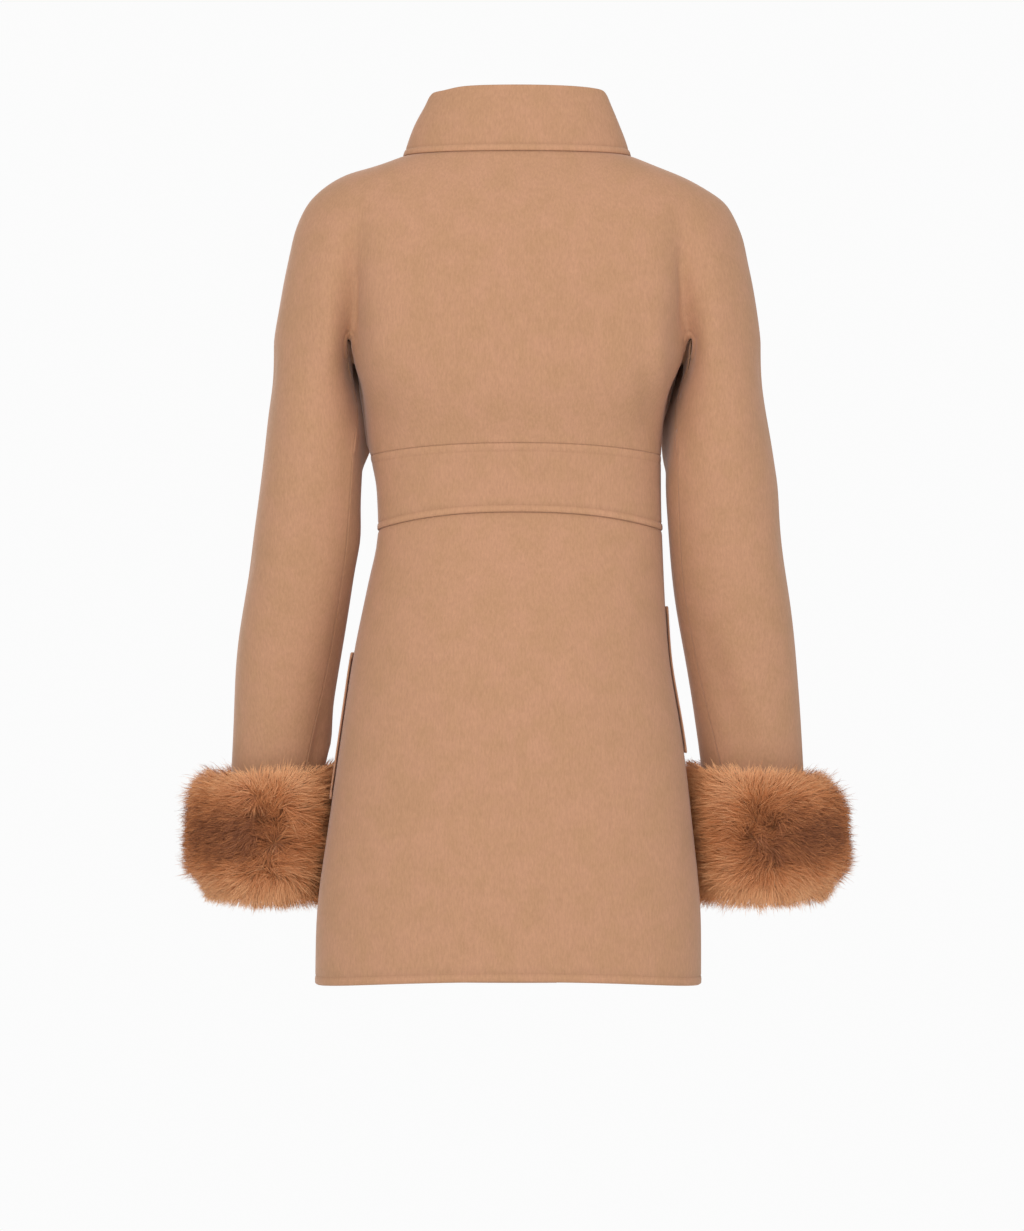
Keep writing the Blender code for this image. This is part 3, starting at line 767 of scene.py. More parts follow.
def finished_mesh(
    name: str, shape: bmesh.types.BMesh, finish: bpy.types.Material
) -> bpy.types.Mesh:
    """Turns a shape into a smooth mesh.

    Args:
        name: The mesh's name.
        shape: The shape, which is freed.
        finish: Its material.

    Returns:
        The mesh.
    """
    mesh = bpy.data.meshes.new(name)
    shape.to_mesh(mesh)
    shape.free()
    mesh.shade_smooth()
    mesh.materials.append(finish)
    return mesh


def joined_mesh(
    name: str, verts: np.ndarray, faces: np.ndarray, finish: bpy.types.Material
) -> bpy.types.Mesh:
    """Makes one smooth mesh of many equal small forms.

    Args:
        name: The mesh's name.
        verts: The corners of each form.
        faces: The triangles of each form.
        finish: Its material.

    Returns:
        The mesh.
    """
    mesh = bpy.data.meshes.new(name)
    mesh.from_pydata(verts.reshape(-1, 3).tolist(), [], faces.reshape(-1, 3).tolist())
    mesh.shade_smooth()
    mesh.materials.append(finish)
    return mesh


def search_tree(points: list[Vector]) -> KDTree:
    """A search tree over points, which are found by their places in the list.

    Args:
        points: The points.

    Returns:
        The balanced tree.
    """
    tree = KDTree(max(1, len(points)))
    for index, point in enumerate(points):
        tree.insert(point, index)
    tree.balance()
    return tree


def cad_shape(node: str) -> bmesh.types.BMesh:
    """A CAD node's faces with their corners welded.

    Args:
        node: The node's name.

    Returns:
        The shape.
    """
    shape = bmesh.new()
    shape.from_mesh(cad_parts[node].data)
    weld(shape)
    return shape


def weld(shape: bmesh.types.BMesh) -> None:
    """Welds the corners that lie together."""
    bmesh.ops.remove_doubles(shape, verts=shape.verts[:], dist=WELD_REACH * MM)


def join_quads(shape: bmesh.types.BMesh) -> None:
    """Joins triangles to quads where both lie nearly flat and nearly square."""
    bmesh.ops.join_triangles(
        shape,
        faces=shape.faces[:],
        angle_face_threshold=math.radians(QUAD_FOLD),
        angle_shape_threshold=math.radians(QUAD_SKEW),
    )


def subdivided(shape: bmesh.types.BMesh, levels: int) -> bmesh.types.BMesh:
    """A shape after Catmull-Clark subdivision, with its corners kept.

    Args:
        shape: The shape, which is freed.
        levels: How many times it is subdivided.

    Returns:
        The finer shape.
    """
    mesh = bpy.data.meshes.new("coarse")
    shape.to_mesh(mesh)
    shape.free()
    carrier = bpy.data.objects.new("coarse", mesh)
    bpy.context.scene.collection.objects.link(carrier)
    modifier = carrier.modifiers.new("rounding", "SUBSURF")
    modifier.levels = modifier.render_levels = levels
    modifier.boundary_smooth = "PRESERVE_CORNERS"
    evaluated = carrier.evaluated_get(bpy.context.evaluated_depsgraph_get())
    finer = bmesh.new()
    finer.from_mesh(evaluated.to_mesh())
    evaluated.to_mesh_clear()
    bpy.data.objects.remove(carrier)
    bpy.data.meshes.remove(mesh)
    return finer


def islands(shape: bmesh.types.BMesh) -> list[list[bmesh.types.BMFace]]:
    """The separate sheets of faces in a shape.

    Args:
        shape: The shape.

    Returns:
        The faces of each sheet.
    """
    left = dict.fromkeys(shape.faces)
    sheets = []
    while left:
        stack = [left.popitem()[0]]
        sheet = []
        while stack:
            face = stack.pop()
            sheet.append(face)
            for edge in face.edges:
                for other in edge.link_faces:
                    if other in left:
                        del left[other]
                        stack.append(other)
        sheets.append(sheet)
    return sheets


class Stitches:
    """Sewn stitches: small thread grains laid end to end on the lines of a panel."""

    pitch: float = 3.3
    length: float = 2.5
    thick: float = 0.5
    sink: float = 0.05
    grain_sides: int = 6
    grain_rings: int = 4

    def __init__(self, finish: bpy.types.Material) -> None:
        """Makes the one grain that all the stitches repeat.

        Args:
            finish: The thread's material.
        """
        self.finish = finish
        grain = bmesh.new()
        bmesh.ops.create_uvsphere(
            grain, u_segments=self.grain_sides, v_segments=self.grain_rings, radius=0.5
        )
        bmesh.ops.triangulate(grain, faces=grain.faces[:])
        self.grain = np.array([vert.co for vert in grain.verts])
        self.grain_faces = np.array([[v.index for v in face.verts] for face in grain.faces])
        grain.free()

    def places(
        self, shape: bmesh.types.BMesh, line: list[bmesh.types.BMEdge]
    ) -> list[tuple[Vector, Vector, Vector]]:
        """Walks along the joined edges of a line and marks each stitch.

        Args:
            shape: The panel; not used.
            line: The edges that follow the stitch line.

        Returns:
            Centre, direction and cloth normal of each stitch.
        """
        left = dict.fromkeys(line)
        found = []
        while left:
            chain = self.chain(left)
            travelled = [0.0]
            for start, end in zip(chain, chain[1:]):
                travelled.append(travelled[-1] + (end.co - start.co).length)
            mark = 0.5 * self.pitch * MM
            spot = 0
            while mark < travelled[-1]:
                while travelled[spot + 1] < mark:
                    spot += 1
                start, end = chain[spot], chain[spot + 1]
                span = max(travelled[spot + 1] - travelled[spot], 1e-9)
                share = (mark - travelled[spot]) / span
                normal = start.normal.lerp(end.normal, share).normalized()
                along = (end.co - start.co).normalized()
                found.append((start.co.lerp(end.co, share), along, normal))
                mark += self.pitch * MM
        return found

    @staticmethod
    def chain(left: dict[bmesh.types.BMEdge, None]) -> list[bmesh.types.BMVert]:
        """Takes one run of joined edges out of a collection.

        Args:
            left: The edges not yet walked, which the run leaves.

        Returns:
            The run's vertices in order.
        """
        first = left.popitem()[0]
        run = [first.verts[0], first.verts[1]]
        for end in (-1, 0):
            while True:
                tip = run[end]
                step = next((edge for edge in tip.link_edges if edge in left), None)
                if step is None:
                    break
                del left[step]
                other = step.other_vert(tip)
                if end == -1:
                    run.append(other)
                else:
                    run.insert(0, other)
        return run

    def sew(self, name: str, places: list[tuple[Vector, Vector, Vector]]) -> bpy.types.Object:
        """Makes one piece of all the stitches on a panel.

        Args:
            name: The piece's name.
            places: Centre, direction and normal of each stitch.

        Returns:
            The stitching.
        """
        centres = np.array([place for place, _, _ in places])
        along = np.array([direction for _, direction, _ in places])
        out = np.array([normal for _, _, normal in places])
        across = np.cross(out, along)
        sizes = np.array([self.length, self.thick, self.thick]) * MM
        grain = self.grain * sizes
        verts = (
            (centres - out * self.sink * MM)[:, None, :]
            + grain[None, :, 0, None] * along[:, None, :]
            + grain[None, :, 1, None] * across[:, None, :]
            + grain[None, :, 2, None] * out[:, None, :]
        )
        offsets = np.arange(len(places))[:, None, None] * len(self.grain)
        faces = self.grain_faces[None, :, :] + offsets
        return link_piece(name, joined_mesh(name, verts, faces, self.finish))


@dataclass
class ClothPanel:
    """One cut piece of cloth, made over its CAD node."""

    node: str
    flat: tuple[float, float]
    area: float
    hangs_from: tuple[str, ...]
    finish: bpy.types.Material
    slot: str = "wool"
    meets: dict[str, Edge] = field(default_factory=dict)
    not_sewn_to: tuple[str, ...] = ()
    open_edge: Edge = Edge.STITCHED
    sharpest_fold: float = 50.0
    wall: float = 2.2
    faces_down: bool = False
    levels: int = 2
    smoothing: int = 6
    wave: float = 0.55
    wave_length: float = 85.0
    stitched: bool = True
    trees: dict[Edge, KDTree] = field(default_factory=dict)

    def outer_face(self) -> bmesh.types.BMesh:
        """The outer side of the CAD node's wall, as an open sheet of quads."""
        shape = cad_shape(self.node)
        shape.normal_update()
        limit = math.radians(self.sharpest_fold)
        rims = [edge for edge in shape.edges if edge.calc_face_angle_signed(0.0) > limit]
        bmesh.ops.split_edges(shape, edges=rims)
        sheets = islands(shape)
        if self.faces_down:
            sheets.sort(key=lambda sheet: sum(f.normal.z * f.calc_area() for f in sheet))
        else:
            sheets.sort(key=lambda sheet: -sum(f.calc_area() for f in sheet))
        spare = [face for sheet in sheets[1:] for face in sheet]
        bmesh.ops.delete(shape, geom=spare, context="FACES")
        loose = [vert for vert in shape.verts if not vert.link_faces]
        bmesh.ops.delete(shape, geom=loose, context="VERTS")
        weld(shape)
        join_quads(shape)
        return shape

    def kind_at(self, point: Vector, others: dict[str, BVHTree]) -> Edge:
        """How the edge at a point is finished.

        Args:
            point: A point on the panel's edge.
            others: The other cut pieces.

        Returns:
            The kind of edge.
        """
        nearest, best = None, SEAM_REACH * MM
        for name, tree in others.items():
            if name == self.node or name in self.not_sewn_to:
                continue
            distance = tree.find_nearest(point, best)[3]
            if distance is not None and distance < best:
                nearest, best = name, distance
        if nearest is None:
            return self.open_edge
        return self.meets.get(nearest, Edge.SEAM)

    def sort_edges(self, shape: bmesh.types.BMesh, others: dict[str, BVHTree]) -> None:
        """Samples the panel's edges into one search tree for each kind.

        Args:
            shape: The panel.
            others: The other cut pieces.
        """
        samples: dict[Edge, list[Vector]] = {}
        for edge in shape.edges:
            if not edge.is_boundary:
                continue
            start, end = (vert.co for vert in edge.verts)
            kind = self.kind_at((start + end) / 2.0, others)
            count = max(2, int((end - start).length / (EDGE_SAMPLE * MM)))
            points = [start.lerp(end, step / count) for step in range(count + 1)]
            samples.setdefault(kind, []).extend(points)
        self.trees = {kind: search_tree(points) for kind, points in samples.items()}

    def cut_lines(self, shape: bmesh.types.BMesh) -> list[bmesh.types.BMEdge]:
        """Cuts the lines of each edge's relief into the mesh.

        Args:
            shape: The panel.

        Returns:
            The edges that the stitches follow.
        """
        lines = []
        for kind, tree in self.trees.items():
            profile = PROFILES[kind]
            for mark in profile.cuts:
                line = cut_at_distance(shape, tree, mark * MM)
                if mark == profile.stitch:
                    lines.extend(line)
        return [edge for edge in lines if edge.is_valid]

    def relief(self, vert: bmesh.types.BMVert) -> tuple[Vector, float]:
        """Move, and painted shade and highlight, that the finished edges give a vertex.

        Args:
            vert: A vertex of the panel.

        Returns:
            The move in mm, and the painted light: below 0 shade, above 0 highlight.
        """
        level = Vector((vert.normal.x, vert.normal.y, 0.0)).normalized()
        raised, sunk, tone = 0.0, Vector(), 0.0
        for kind, tree in self.trees.items():
            profile = PROFILES[kind]
            distance = tree.find(vert.co)[2] / MM
            lift = profile.lift(distance)
            shade = profile.tone(distance)
            tone = shade if abs(shade) > abs(tone) else tone
            if lift > 0.0:
                raised = max(raised, lift)
            else:
                sunk += (level if profile.sinks_level else vert.normal) * lift
        fade = max(0.0, 1.0 - sunk.length)
        return vert.normal * raised * fade + sunk, tone

    def tuck(self, vert: bmesh.types.BMVert) -> Vector:
        """Reach of an edge vertex past the panel's outline, in mm.

        Args:
            vert: A vertex of the panel.

        Returns:
            The move in mm.
        """
        if not vert.is_boundary:
            return Vector()
        kind = min(self.trees, key=lambda key: self.trees[key].find(vert.co)[2])
        rim = [e.other_vert(vert).co for e in vert.link_edges if e.is_boundary]
        inner = [e.other_vert(vert).co for e in vert.link_edges if not e.is_boundary]
        if not inner or len(rim) != 2 or PROFILES[kind].tuck == 0.0:
            return Vector()
        along = (rim[1] - rim[0]).normalized()
        out = vert.co - sum(inner, Vector()) / len(inner)
        out -= along * out.dot(along) + vert.normal * out.dot(vert.normal)
        turn = (rim[0] - vert.co).normalized().dot((rim[1] - vert.co).normalized())
        reach = PROFILES[kind].corner_tuck if turn > CORNER_TURN else PROFILES[kind].tuck
        return out.normalized() * reach

    def build(
        self, others: dict[str, BVHTree], creases: CreaseMap, stitches: Stitches
    ) -> list[bpy.types.Object]:
        """Builds the panel and its stitches.

        Args:
            others: The CAD solids of all the cut pieces.
            creases: The creases laid on the coat.
            stitches: The stitch maker.

        Returns:
            The panel, and its stitching if it has some.
        """
        shape = subdivided(self.outer_face(), self.levels)
        inner = [vert for vert in shape.verts if not vert.is_boundary]
        to_fold = {v: min(gap_to_line(v.co / MM, path) for path in FOLDS) for v in inner}
        rounds = [(inner, self.smoothing)]
        for reach in FOLD_REACHES:
            rounds.append(([vert for vert in inner if to_fold[vert] < reach], FOLD_ROUNDING))
        for verts, passes in rounds:
            for _ in range(passes if verts else 0):
                bmesh.ops.smooth_vert(
                    shape, verts=verts, factor=0.5, use_axis_x=True, use_axis_y=True,
                    use_axis_z=True,
                )
        self.sort_edges(shape, others)
        line = self.cut_lines(shape)
        shape.normal_update()
        # painted shade and highlight by the seams and edges, kept for the material
        press = shape.verts.layers.float.new("press")
        eases = [ease for ease in EASES if self.node.startswith(ease.only)]
        moves = []
        for vert in shape.verts:
            wave = noise.noise(vert.co / (self.wave_length * MM) + WAVE_PLACE) * self.wave
            distance = min(tree.find(vert.co)[2] for tree in self.trees.values())
            calm = min(1.0, distance / (SEAM_CALM * MM))
            fold = creases.at(vert.co, vert.normal)
            relief, vert[press] = self.relief(vert)
            moved = vert.normal * (wave + fold) * calm
            for ease in eases:
                moved += ease.at(vert.co, vert.normal) * (1.0 if ease.whole else calm)
            moves.append(relief + self.tuck(vert) + moved)
        for vert, move in zip(shape.verts, moves):
            vert.co += move * MM
        shape.normal_update()
        places = stitches.places(shape, line) if self.stitched and line else []
        mesh = finished_mesh(self.node + "_cloth", shape, self.finish)
        return self.dress(mesh, places, stitches)

    def dress(
        self,
        mesh: bpy.types.Mesh,
        places: list[tuple[Vector, Vector, Vector]],
        stitches: Stitches,
    ) -> list[bpy.types.Object]:
        """Gives the sheet its thickness and its stitching.

        Args:
            mesh: The panel's outer side.
            places: Centre, direction and normal of each stitch.
            stitches: The stitch maker.

        Returns:
            The panel, and its stitching if it has some.
        """
        panel = link_piece(self.node + "_cloth", mesh)
        wall = panel.modifiers.new("cloth_thickness", "SOLIDIFY")
        wall.thickness = self.wall * MM
        wall.offset = -1.0
        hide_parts(self.node)
        pieces = [panel]
        if places:
            pieces.append(stitches.sew(self.node + "_stitches", places))
        return pieces


def cut_at_distance(
    shape: bmesh.types.BMesh, tree: KDTree, mark: float
) -> list[bmesh.types.BMEdge]:
    """Cuts a line through the faces at a set distance from an edge.

    Args:
        shape: The mesh to cut.
        tree: Samples of the edge that the distance is measured from.
        mark: The distance in metres.

    Returns:
        The edges along the line.
    """
    gap = {vert: tree.find(vert.co)[2] - mark for vert in shape.verts}
    on_line: dict[bmesh.types.BMVert, None] = {}
    for edge in shape.edges[:]:
        start, end = edge.verts
        low, high = gap[start], gap[end]
        if low * high >= 0.0:
            continue
        share = low / (low - high)
        if share < CUT_SNAP and not start.is_boundary:
            start.co = start.co.lerp(end.co, share)
            gap[start] = 0.0
            on_line[start] = None
        elif share > 1.0 - CUT_SNAP and not end.is_boundary:
            end.co = end.co.lerp(start.co, 1.0 - share)
            gap[end] = 0.0
            on_line[end] = None
        else:
            _, middle = bmesh.utils.edge_split(edge, start, share)
            gap[middle] = 0.0
            on_line[middle] = None
    bmesh.ops.connect_verts(shape, verts=list(on_line))
    return [
        edge
        for vert in on_line
        for edge in vert.link_edges
        if edge.verts[0] is vert and edge.other_vert(vert) in on_line
    ]


@dataclass(frozen=True)
class HairLie:
    """How the hairs lie: sizes in mm, and places as shares of the cuff.

    The hair parts near the cuff's middle and runs to both sides of it, and up and down at
    the rims, where it is shorter. It stands on the middle of the outer side.
    """

    turns: Curve = ((25.0, 0.65), (10.0, 0.5))
    parting: float = -0.12
    parting_width: float = 0.6
    sideways: float = 0.75
    sideways_gain: float = 0.2
    upright: float = 1.7
    rise_range: tuple[float, float] = (0.75, 1.12)
    rise_curve: float = 1.7
    least_run: float = 4.0
    run_curve: float = 1.35
    corner_run: float = 0.022
    standing_height: float = 0.3
    standing_from: float = -0.2
    standing_span: float = 0.8
    standing_run: float = 0.4
    rim_from: float = 0.28
    rim_span: float = 0.2
    rim_trim: float = 0.55
    top_corner_keep: float = 0.5
    stray: float = 0.75
    calm_when_laid: float = 0.42
    droop: float = 1.5
    clump_range: tuple[float, float] = (0.3, 1.0)
    twist: float = 0.8


@dataclass(frozen=True)
class HairTone:
    """What makes a hair darker or lighter, from 0, dark, through red brown to 1, gold.

    Heights are counted from the cuff's middle, in shares of its height, and places across
    run from -1 beside the body to 1 on the outer side.
    """

    middle: float = 0.52
    rim_gain: float = 0.28
    rim_from: float = 0.24
    rim_span: float = 0.2
    band_loss: float = 0.55
    band_height: float = 0.26
    band_from: float = -0.75
    band_rise: float = 0.7
    # painted light: the dark band fades at the outer edge, where the upright hairs stand in shade
    band_end: float = 1.15
    band_fall: float = 0.35
    band_least: float = 0.4
    patch_gain: float = 0.16
    patch_size: float = 18.0
    pale_share: float = 0.12
    pale_gain: float = 0.3
    # painted light: the inner side, which the coat's body shades, is made paler
    inner_from: float = 0.1
    inner_painted_light: float = 0.16
    low_height: float = 0.3
    low_gain: float = 0.05
    scatter: float = 0.1
    tip_gain: float = 0.34


# the mark on the hair's line of each corner of a ribbon, and the ribbon's triangles
RIBBON_MARKS = np.array([0, 0, 1, 1, 2, 2, 3])
RIBBON_FACES = np.array([[0, 1, 3], [0, 3, 2], [2, 3, 5], [2, 5, 4], [4, 5, 6]])
# how much is cut off each cuff's outer corners, low and high
CUFF_CUTS = {Side.LEFT: (34.0, -9.0), Side.RIGHT: (27.0, 24.0)}


@dataclass
class FurCuff:
    """A fur cuff: a padded pelt round the sleeve's end, and the hairs that stand on it."""

    side: Side
    pelt_finish: bpy.types.Material
    hair_finish: bpy.types.Material
    fill: float = 0.8
    hair_rise: float = 11.0
    rise_share: float = 0.45
    corner_height: float = 0.26
    low_cut: float = 20.0
    high_cut: float = 0.0
    cut_share: float = 0.3
    hairs: int = 60000
    bundles: int = 2
    clumps: int = 1100
    clump_pull: float = 0.26
    shortest: float = 17.0
    longest: float = 24.0
    guard_share: float = 0.07
    guard_gain: float = 1.4
    hair_width: float = 0.4
    softness: float = 0.6
    sleeve_gap: float = 2.0
    seed: int = 11
    lie: HairLie = HairLie()
    tone: HairTone = HairTone()
    marks: tuple[float, ...] = (0.0, 0.38, 0.72, 1.0)
    widths: tuple[float, ...] = (1.0, 0.9, 0.62)

    def node(self) -> str:
        """The CAD node's name."""
        return "cuff_" + self.side.word

    def corner(self, height: np.ndarray, outward: np.ndarray) -> np.ndarray:
        """How much is cut off the outer corners.

        Args:
            height: The height on the cuff, from 0 to 1.
            outward: The place across, from -1 beside the body to 1 on the outer side.

        Returns:
            The cut in mm.
        """
        low = self.low_cut * np.clip(1.0 - height / self.corner_height, 0.0, 1.0)
        high = self.high_cut * np.clip(1.0 - (1.0 - height) / self.corner_height, 0.0, 1.0)
        return (low + high) * np.clip(outward, 0.0, 1.0) ** 2

    def pelt(self, sleeve: BVHTree) -> bmesh.types.BMesh:
        """The CAD ring with its outside drawn in by the height of the hair.

        Args:
            sleeve: The cloth of the sleeve under the cuff.

        Returns:
            The pelt's shape.
        """
        shape = cad_shape(self.node())
        join_quads(shape)
        shape = subdivided(shape, 1)
        shape.normal_update()
        low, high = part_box(self.node())
        moves = []
        for vert in shape.verts:
            distance = sleeve.find_nearest(vert.co)[3]
            height = (vert.co.z - low.z) / (high.z - low.z)
            outward = self.side.value * (2.0 * vert.co.x - low.x - high.x) / (high.x - low.x)
            depth = min(self.hair_rise * MM, self.rise_share * distance)
            depth += min(float(self.corner(height, outward)) * MM, self.cut_share * distance)
            moves.append(vert.normal * depth)
        for vert, move in zip(shape.verts, moves):
            vert.co -= move
        shape.normal_update()
        return shape

    def roots(
        self, shape: bmesh.types.BMesh, sleeve: BVHTree, rng: np.random.Generator
    ) -> tuple[np.ndarray, np.ndarray]:
        """Scatters the hairs' roots evenly over the pelt's outside.

        Args:
            shape: The pelt.
            sleeve: The cloth of the sleeve under the cuff.
            rng: Seeded random numbers.

        Returns:
            The roots and the pelt's normals there.
        """
        copy = shape.copy()
        bmesh.ops.triangulate(copy, faces=copy.faces[:])
        corners, normals = [], []
        for face in copy.faces:
            middle = face.calc_center_median()
            spot, _, _, distance = sleeve.find_nearest(middle)
            if distance > self.sleeve_gap * MM and face.normal.dot(middle - spot) > 0.0:
                corners.append([vert.co[:] for vert in face.verts])
                normals.append([vert.normal[:] for vert in face.verts])
        copy.free()
        corners, normals = np.array(corners), np.array(normals)
        edges = corners[:, 1:] - corners[:, :1]
        areas = np.linalg.norm(np.cross(edges[:, 0], edges[:, 1]), axis=1)
        chosen = rng.choice(len(areas), self.hairs, p=areas / areas.sum())
        shares = rng.dirichlet((1.0, 1.0, 1.0), self.hairs)
        points = (corners[chosen] * shares[:, :, None]).sum(axis=1)
        ups = (normals[chosen] * shares[:, :, None]).sum(axis=1)
        return points, unit(ups)

    def comb(self, points: np.ndarray, ups: np.ndarray) -> np.ndarray:
        """The way that each hair lies.

        Args:
            points: The roots.
            ups: The pelt's normals.

        Returns:
            Unit vectors along the pelt.
        """
        lie = self.lie
        height, outward = self.spots(points)
        round_cuff = unit(np.array([self.side.value, 0.0, 0.0]) - ups * ups[:, :1] * self.side.value)
        flow = sum(self.tufts(points, size) * strength for size, strength in lie.turns)
        parted = np.clip((outward - lie.parting) / lie.parting_width, -1.0, 1.0)
        sideways = lie.sideways + lie.sideways_gain * np.abs(outward)
        flow += round_cuff * (parted * sideways)[:, None]
        flow[:, 2] += lie.upright * ((height - 0.5) * 2.0) ** 3
        flow -= ups * (flow * ups).sum(axis=1, keepdims=True)
        return unit(flow)

    @staticmethod
    def tufts(points: np.ndarray, size: float) -> np.ndarray:
        """Slow random turns of the hair.

        Args:
            points: The roots.
            size: The size of a tuft in mm.

        Returns:
            A vector for each root.
        """
        scale = size * MM
        return np.array([noise.noise_vector(Vector(point) / scale) for point in points])

    def spots(self, points: np.ndarray) -> tuple[np.ndarray, np.ndarray]:
        """Where each root is on the cuff.

        Args:
            points: The roots.

        Returns:
            The height, from 0 at the bottom to 1 at the top, and the place across, from -1
            beside the body to 1 on the outer side.
        """
        low, high = points.min(axis=0), points.max(axis=0)
        height = (points[:, 2] - low[2]) / (high[2] - low[2])
        middle = (low[0] + high[0]) / 2.0
        across = self.side.value * (points[:, 0] - middle) / (high[0] - low[0]) * 2.0
        return height, across

    def strands(
        self, points: np.ndarray, ups: np.ndarray, combs: np.ndarray, rng: np.random.Generator
    ) -> np.ndarray:
        """The centre line of each hair.

        Args:
            points: The roots.
            ups: The pelt's normals.
            combs: The way that each hair lies.
            rng: Seeded random numbers.

        Returns:
            The points of each hair, from root to tip.
        """
        lie = self.lie
        count = len(points)
        length = rng.uniform(self.shortest, self.longest, count) * MM
        guard = rng.random(count) < self.guard_share
        length[guard] *= self.guard_gain
        height = self.hair_rise * MM * rng.uniform(*lie.rise_range, count)
        height[guard] *= self.guard_gain
        run = np.sqrt(np.maximum(length**2 - height**2, (lie.least_run * MM) ** 2))
        level, outward = self.spots(points)
        middle = np.exp(-(((level - 0.5) / lie.standing_height) ** 2))
        standing = np.clip((outward - lie.standing_from) / lie.standing_span, 0.0, 1.0)
        laid = 1.0 - middle * standing
        run *= lie.standing_run + (1.0 - lie.standing_run) * laid
        run *= 1.0 - self.corner(level, outward) * lie.corner_run
        rim = np.clip((np.abs(level - 0.5) - lie.rim_from) / lie.rim_span, 0.0, 1.0)
        kept = lie.top_corner_keep * (level > 0.5) * np.clip(outward, 0.0, 1.0) ** 2
        run *= 1.0 - lie.rim_trim * rim * (1.0 - kept)
        wild = (lie.stray - lie.calm_when_laid * laid)[:, None]
        stray = unit(combs + rng.normal(0.0, 1.0, combs.shape) * wild)
        share = np.array(self.marks)
        rise = height[:, None] * (1.0 - (1.0 - share) ** lie.rise_curve)
        reach = run[:, None] * share**lie.run_curve
        lines = points[:, None, :] + ups[:, None, :] * rise[..., None]
        lines = lines + stray[:, None, :] * reach[..., None]
        lines[:, :, 2] -= (lie.droop * MM) * share**2
        seeds = rng.choice(count, self.clumps, replace=False)
        tree = search_tree([Vector(points[seed]) for seed in seeds])
        nearest = np.array([tree.find(Vector(point))[1] for point in points])
        pull = (lines[seeds[nearest]] - lines) * (share**2)[None, :, None]
        pull[:, 0] = 0.0
        strength = self.clump_pull * rng.uniform(*lie.clump_range, count)
        return lines + pull * strength[:, None, None]

    def tones(self, points: np.ndarray, rng: np.random.Generator) -> np.ndarray:
        """How light each hair is, root to tip: 0 dark, 0.45 red brown and 1 gold.

        Args:
            points: The roots.
            rng: Seeded random numbers.

        Returns:
            A tone for each point of each hair.
        """
        rule = self.tone
        height, outward = self.spots(points)
        away = np.abs(height - 0.5)
        rim = np.clip((away - rule.rim_from) / rule.rim_span, 0.0, 1.0)
        band = np.exp(-((away / rule.band_height) ** 2))
        band *= np.clip((outward - rule.band_from) / rule.band_rise, 0.0, 1.0)
        # painted light: the band fades at the outer edge, where the upright hairs stand in shade
        band *= np.clip((rule.band_end - outward) / rule.band_fall, rule.band_least, 1.0)
        patch = np.array([noise.noise(Vector(p) / (rule.patch_size * MM)) for p in points])
        pale = rng.random(len(points)) < rule.pale_share
        tone = rule.middle + rule.rim_gain * rim - rule.band_loss * band
        tone += rule.patch_gain * patch + rule.pale_gain * pale
        # painted light: paler on the inner side, where the body shades the fur
        tone += rule.inner_painted_light * np.clip(rule.inner_from - outward, 0.0, 1.0)
        tone += rule.low_gain * (height < rule.low_height)
        tone += rng.normal(0.0, rule.scatter, len(points))
        along = np.array(self.marks) * rule.tip_gain - rule.tip_gain / 2.0
        return np.clip(tone[:, None] + along[None, :], 0.0, 1.0)

    def ribbons(
        self, name: str, lines: np.ndarray, ups: np.ndarray, tones: np.ndarray, twist: np.ndarray
    ) -> bpy.types.Object:
        """One piece of many hairs, each a tapered ribbon.

        Args:
            name: The piece's name.
            lines: The points of each hair.
            ups: The pelt's normals.
            tones: A tone for each point.
            twist: Turn of each ribbon about its length, in radians.

        Returns:
            The hairs.
        """
        along = unit(np.gradient(lines, axis=1))
        out = np.repeat(ups[:, None, :], lines.shape[1], axis=1)
        across = unit(np.cross(along, out))
        face = np.cross(across, along)
        turn = twist[:, None, None]
        across, face = (
            across * np.cos(turn) + face * np.sin(turn),
            face * np.cos(turn) - across * np.sin(turn),
        )
        half = across[:, :3] * (np.array(self.widths) * self.hair_width * MM / 2.0)[None, :, None]
        verts = lines[:, RIBBON_MARKS]
        verts[:, 0:-1:2] -= half
        verts[:, 1:-1:2] += half
        soft = out[:, RIBBON_MARKS] * self.softness + face[:, RIBBON_MARKS] * (1.0 - self.softness)
        steps = np.arange(len(lines))[:, None, None] * len(RIBBON_MARKS)
        faces = RIBBON_FACES[None] + steps
        mesh = joined_mesh(name, verts, faces, self.hair_finish)
        tone = mesh.attributes.new("tone", "FLOAT", "POINT")
        tone.data.foreach_set("value", tones[:, RIBBON_MARKS].ravel())
        mesh.normals_split_custom_set_from_vertices(unit(soft).reshape(-1, 3).tolist())
        return link_piece(name, mesh)

    def build(self, sleeve: BVHTree) -> list[bpy.types.Object]:
        """Builds the pelt and its hairs.

        Args:
            sleeve: The cloth of the sleeve under the cuff.

        Returns:
            The pelt and the bundles of hair.
        """
        rng = np.random.default_rng(self.seed + self.side.value)
        shape = self.pelt(sleeve)
        points, ups = self.roots(shape, sleeve, rng)
        name = self.node() + "_pelt"
        pelt = link_piece(name, finished_mesh(name, shape, self.pelt_finish))
        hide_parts(self.node())
        lines = self.strands(points, ups, self.comb(points, ups), rng)
        tones = self.tones(points, rng)
        twist = rng.uniform(-self.lie.twist, self.lie.twist, len(points))
        pieces = [pelt]
        for part in range(self.bundles):
            some = slice(part, None, self.bundles)
            name = f"{self.node()}_hair_{part + 1}"
            pieces.append(self.ribbons(name, lines[some], ups[some], tones[some], twist[some]))
        return pieces


def unit(vectors: np.ndarray) -> np.ndarray:
    """Vectors at length 1."""
    return vectors / np.maximum(np.linalg.norm(vectors, axis=-1, keepdims=True), 1e-12)


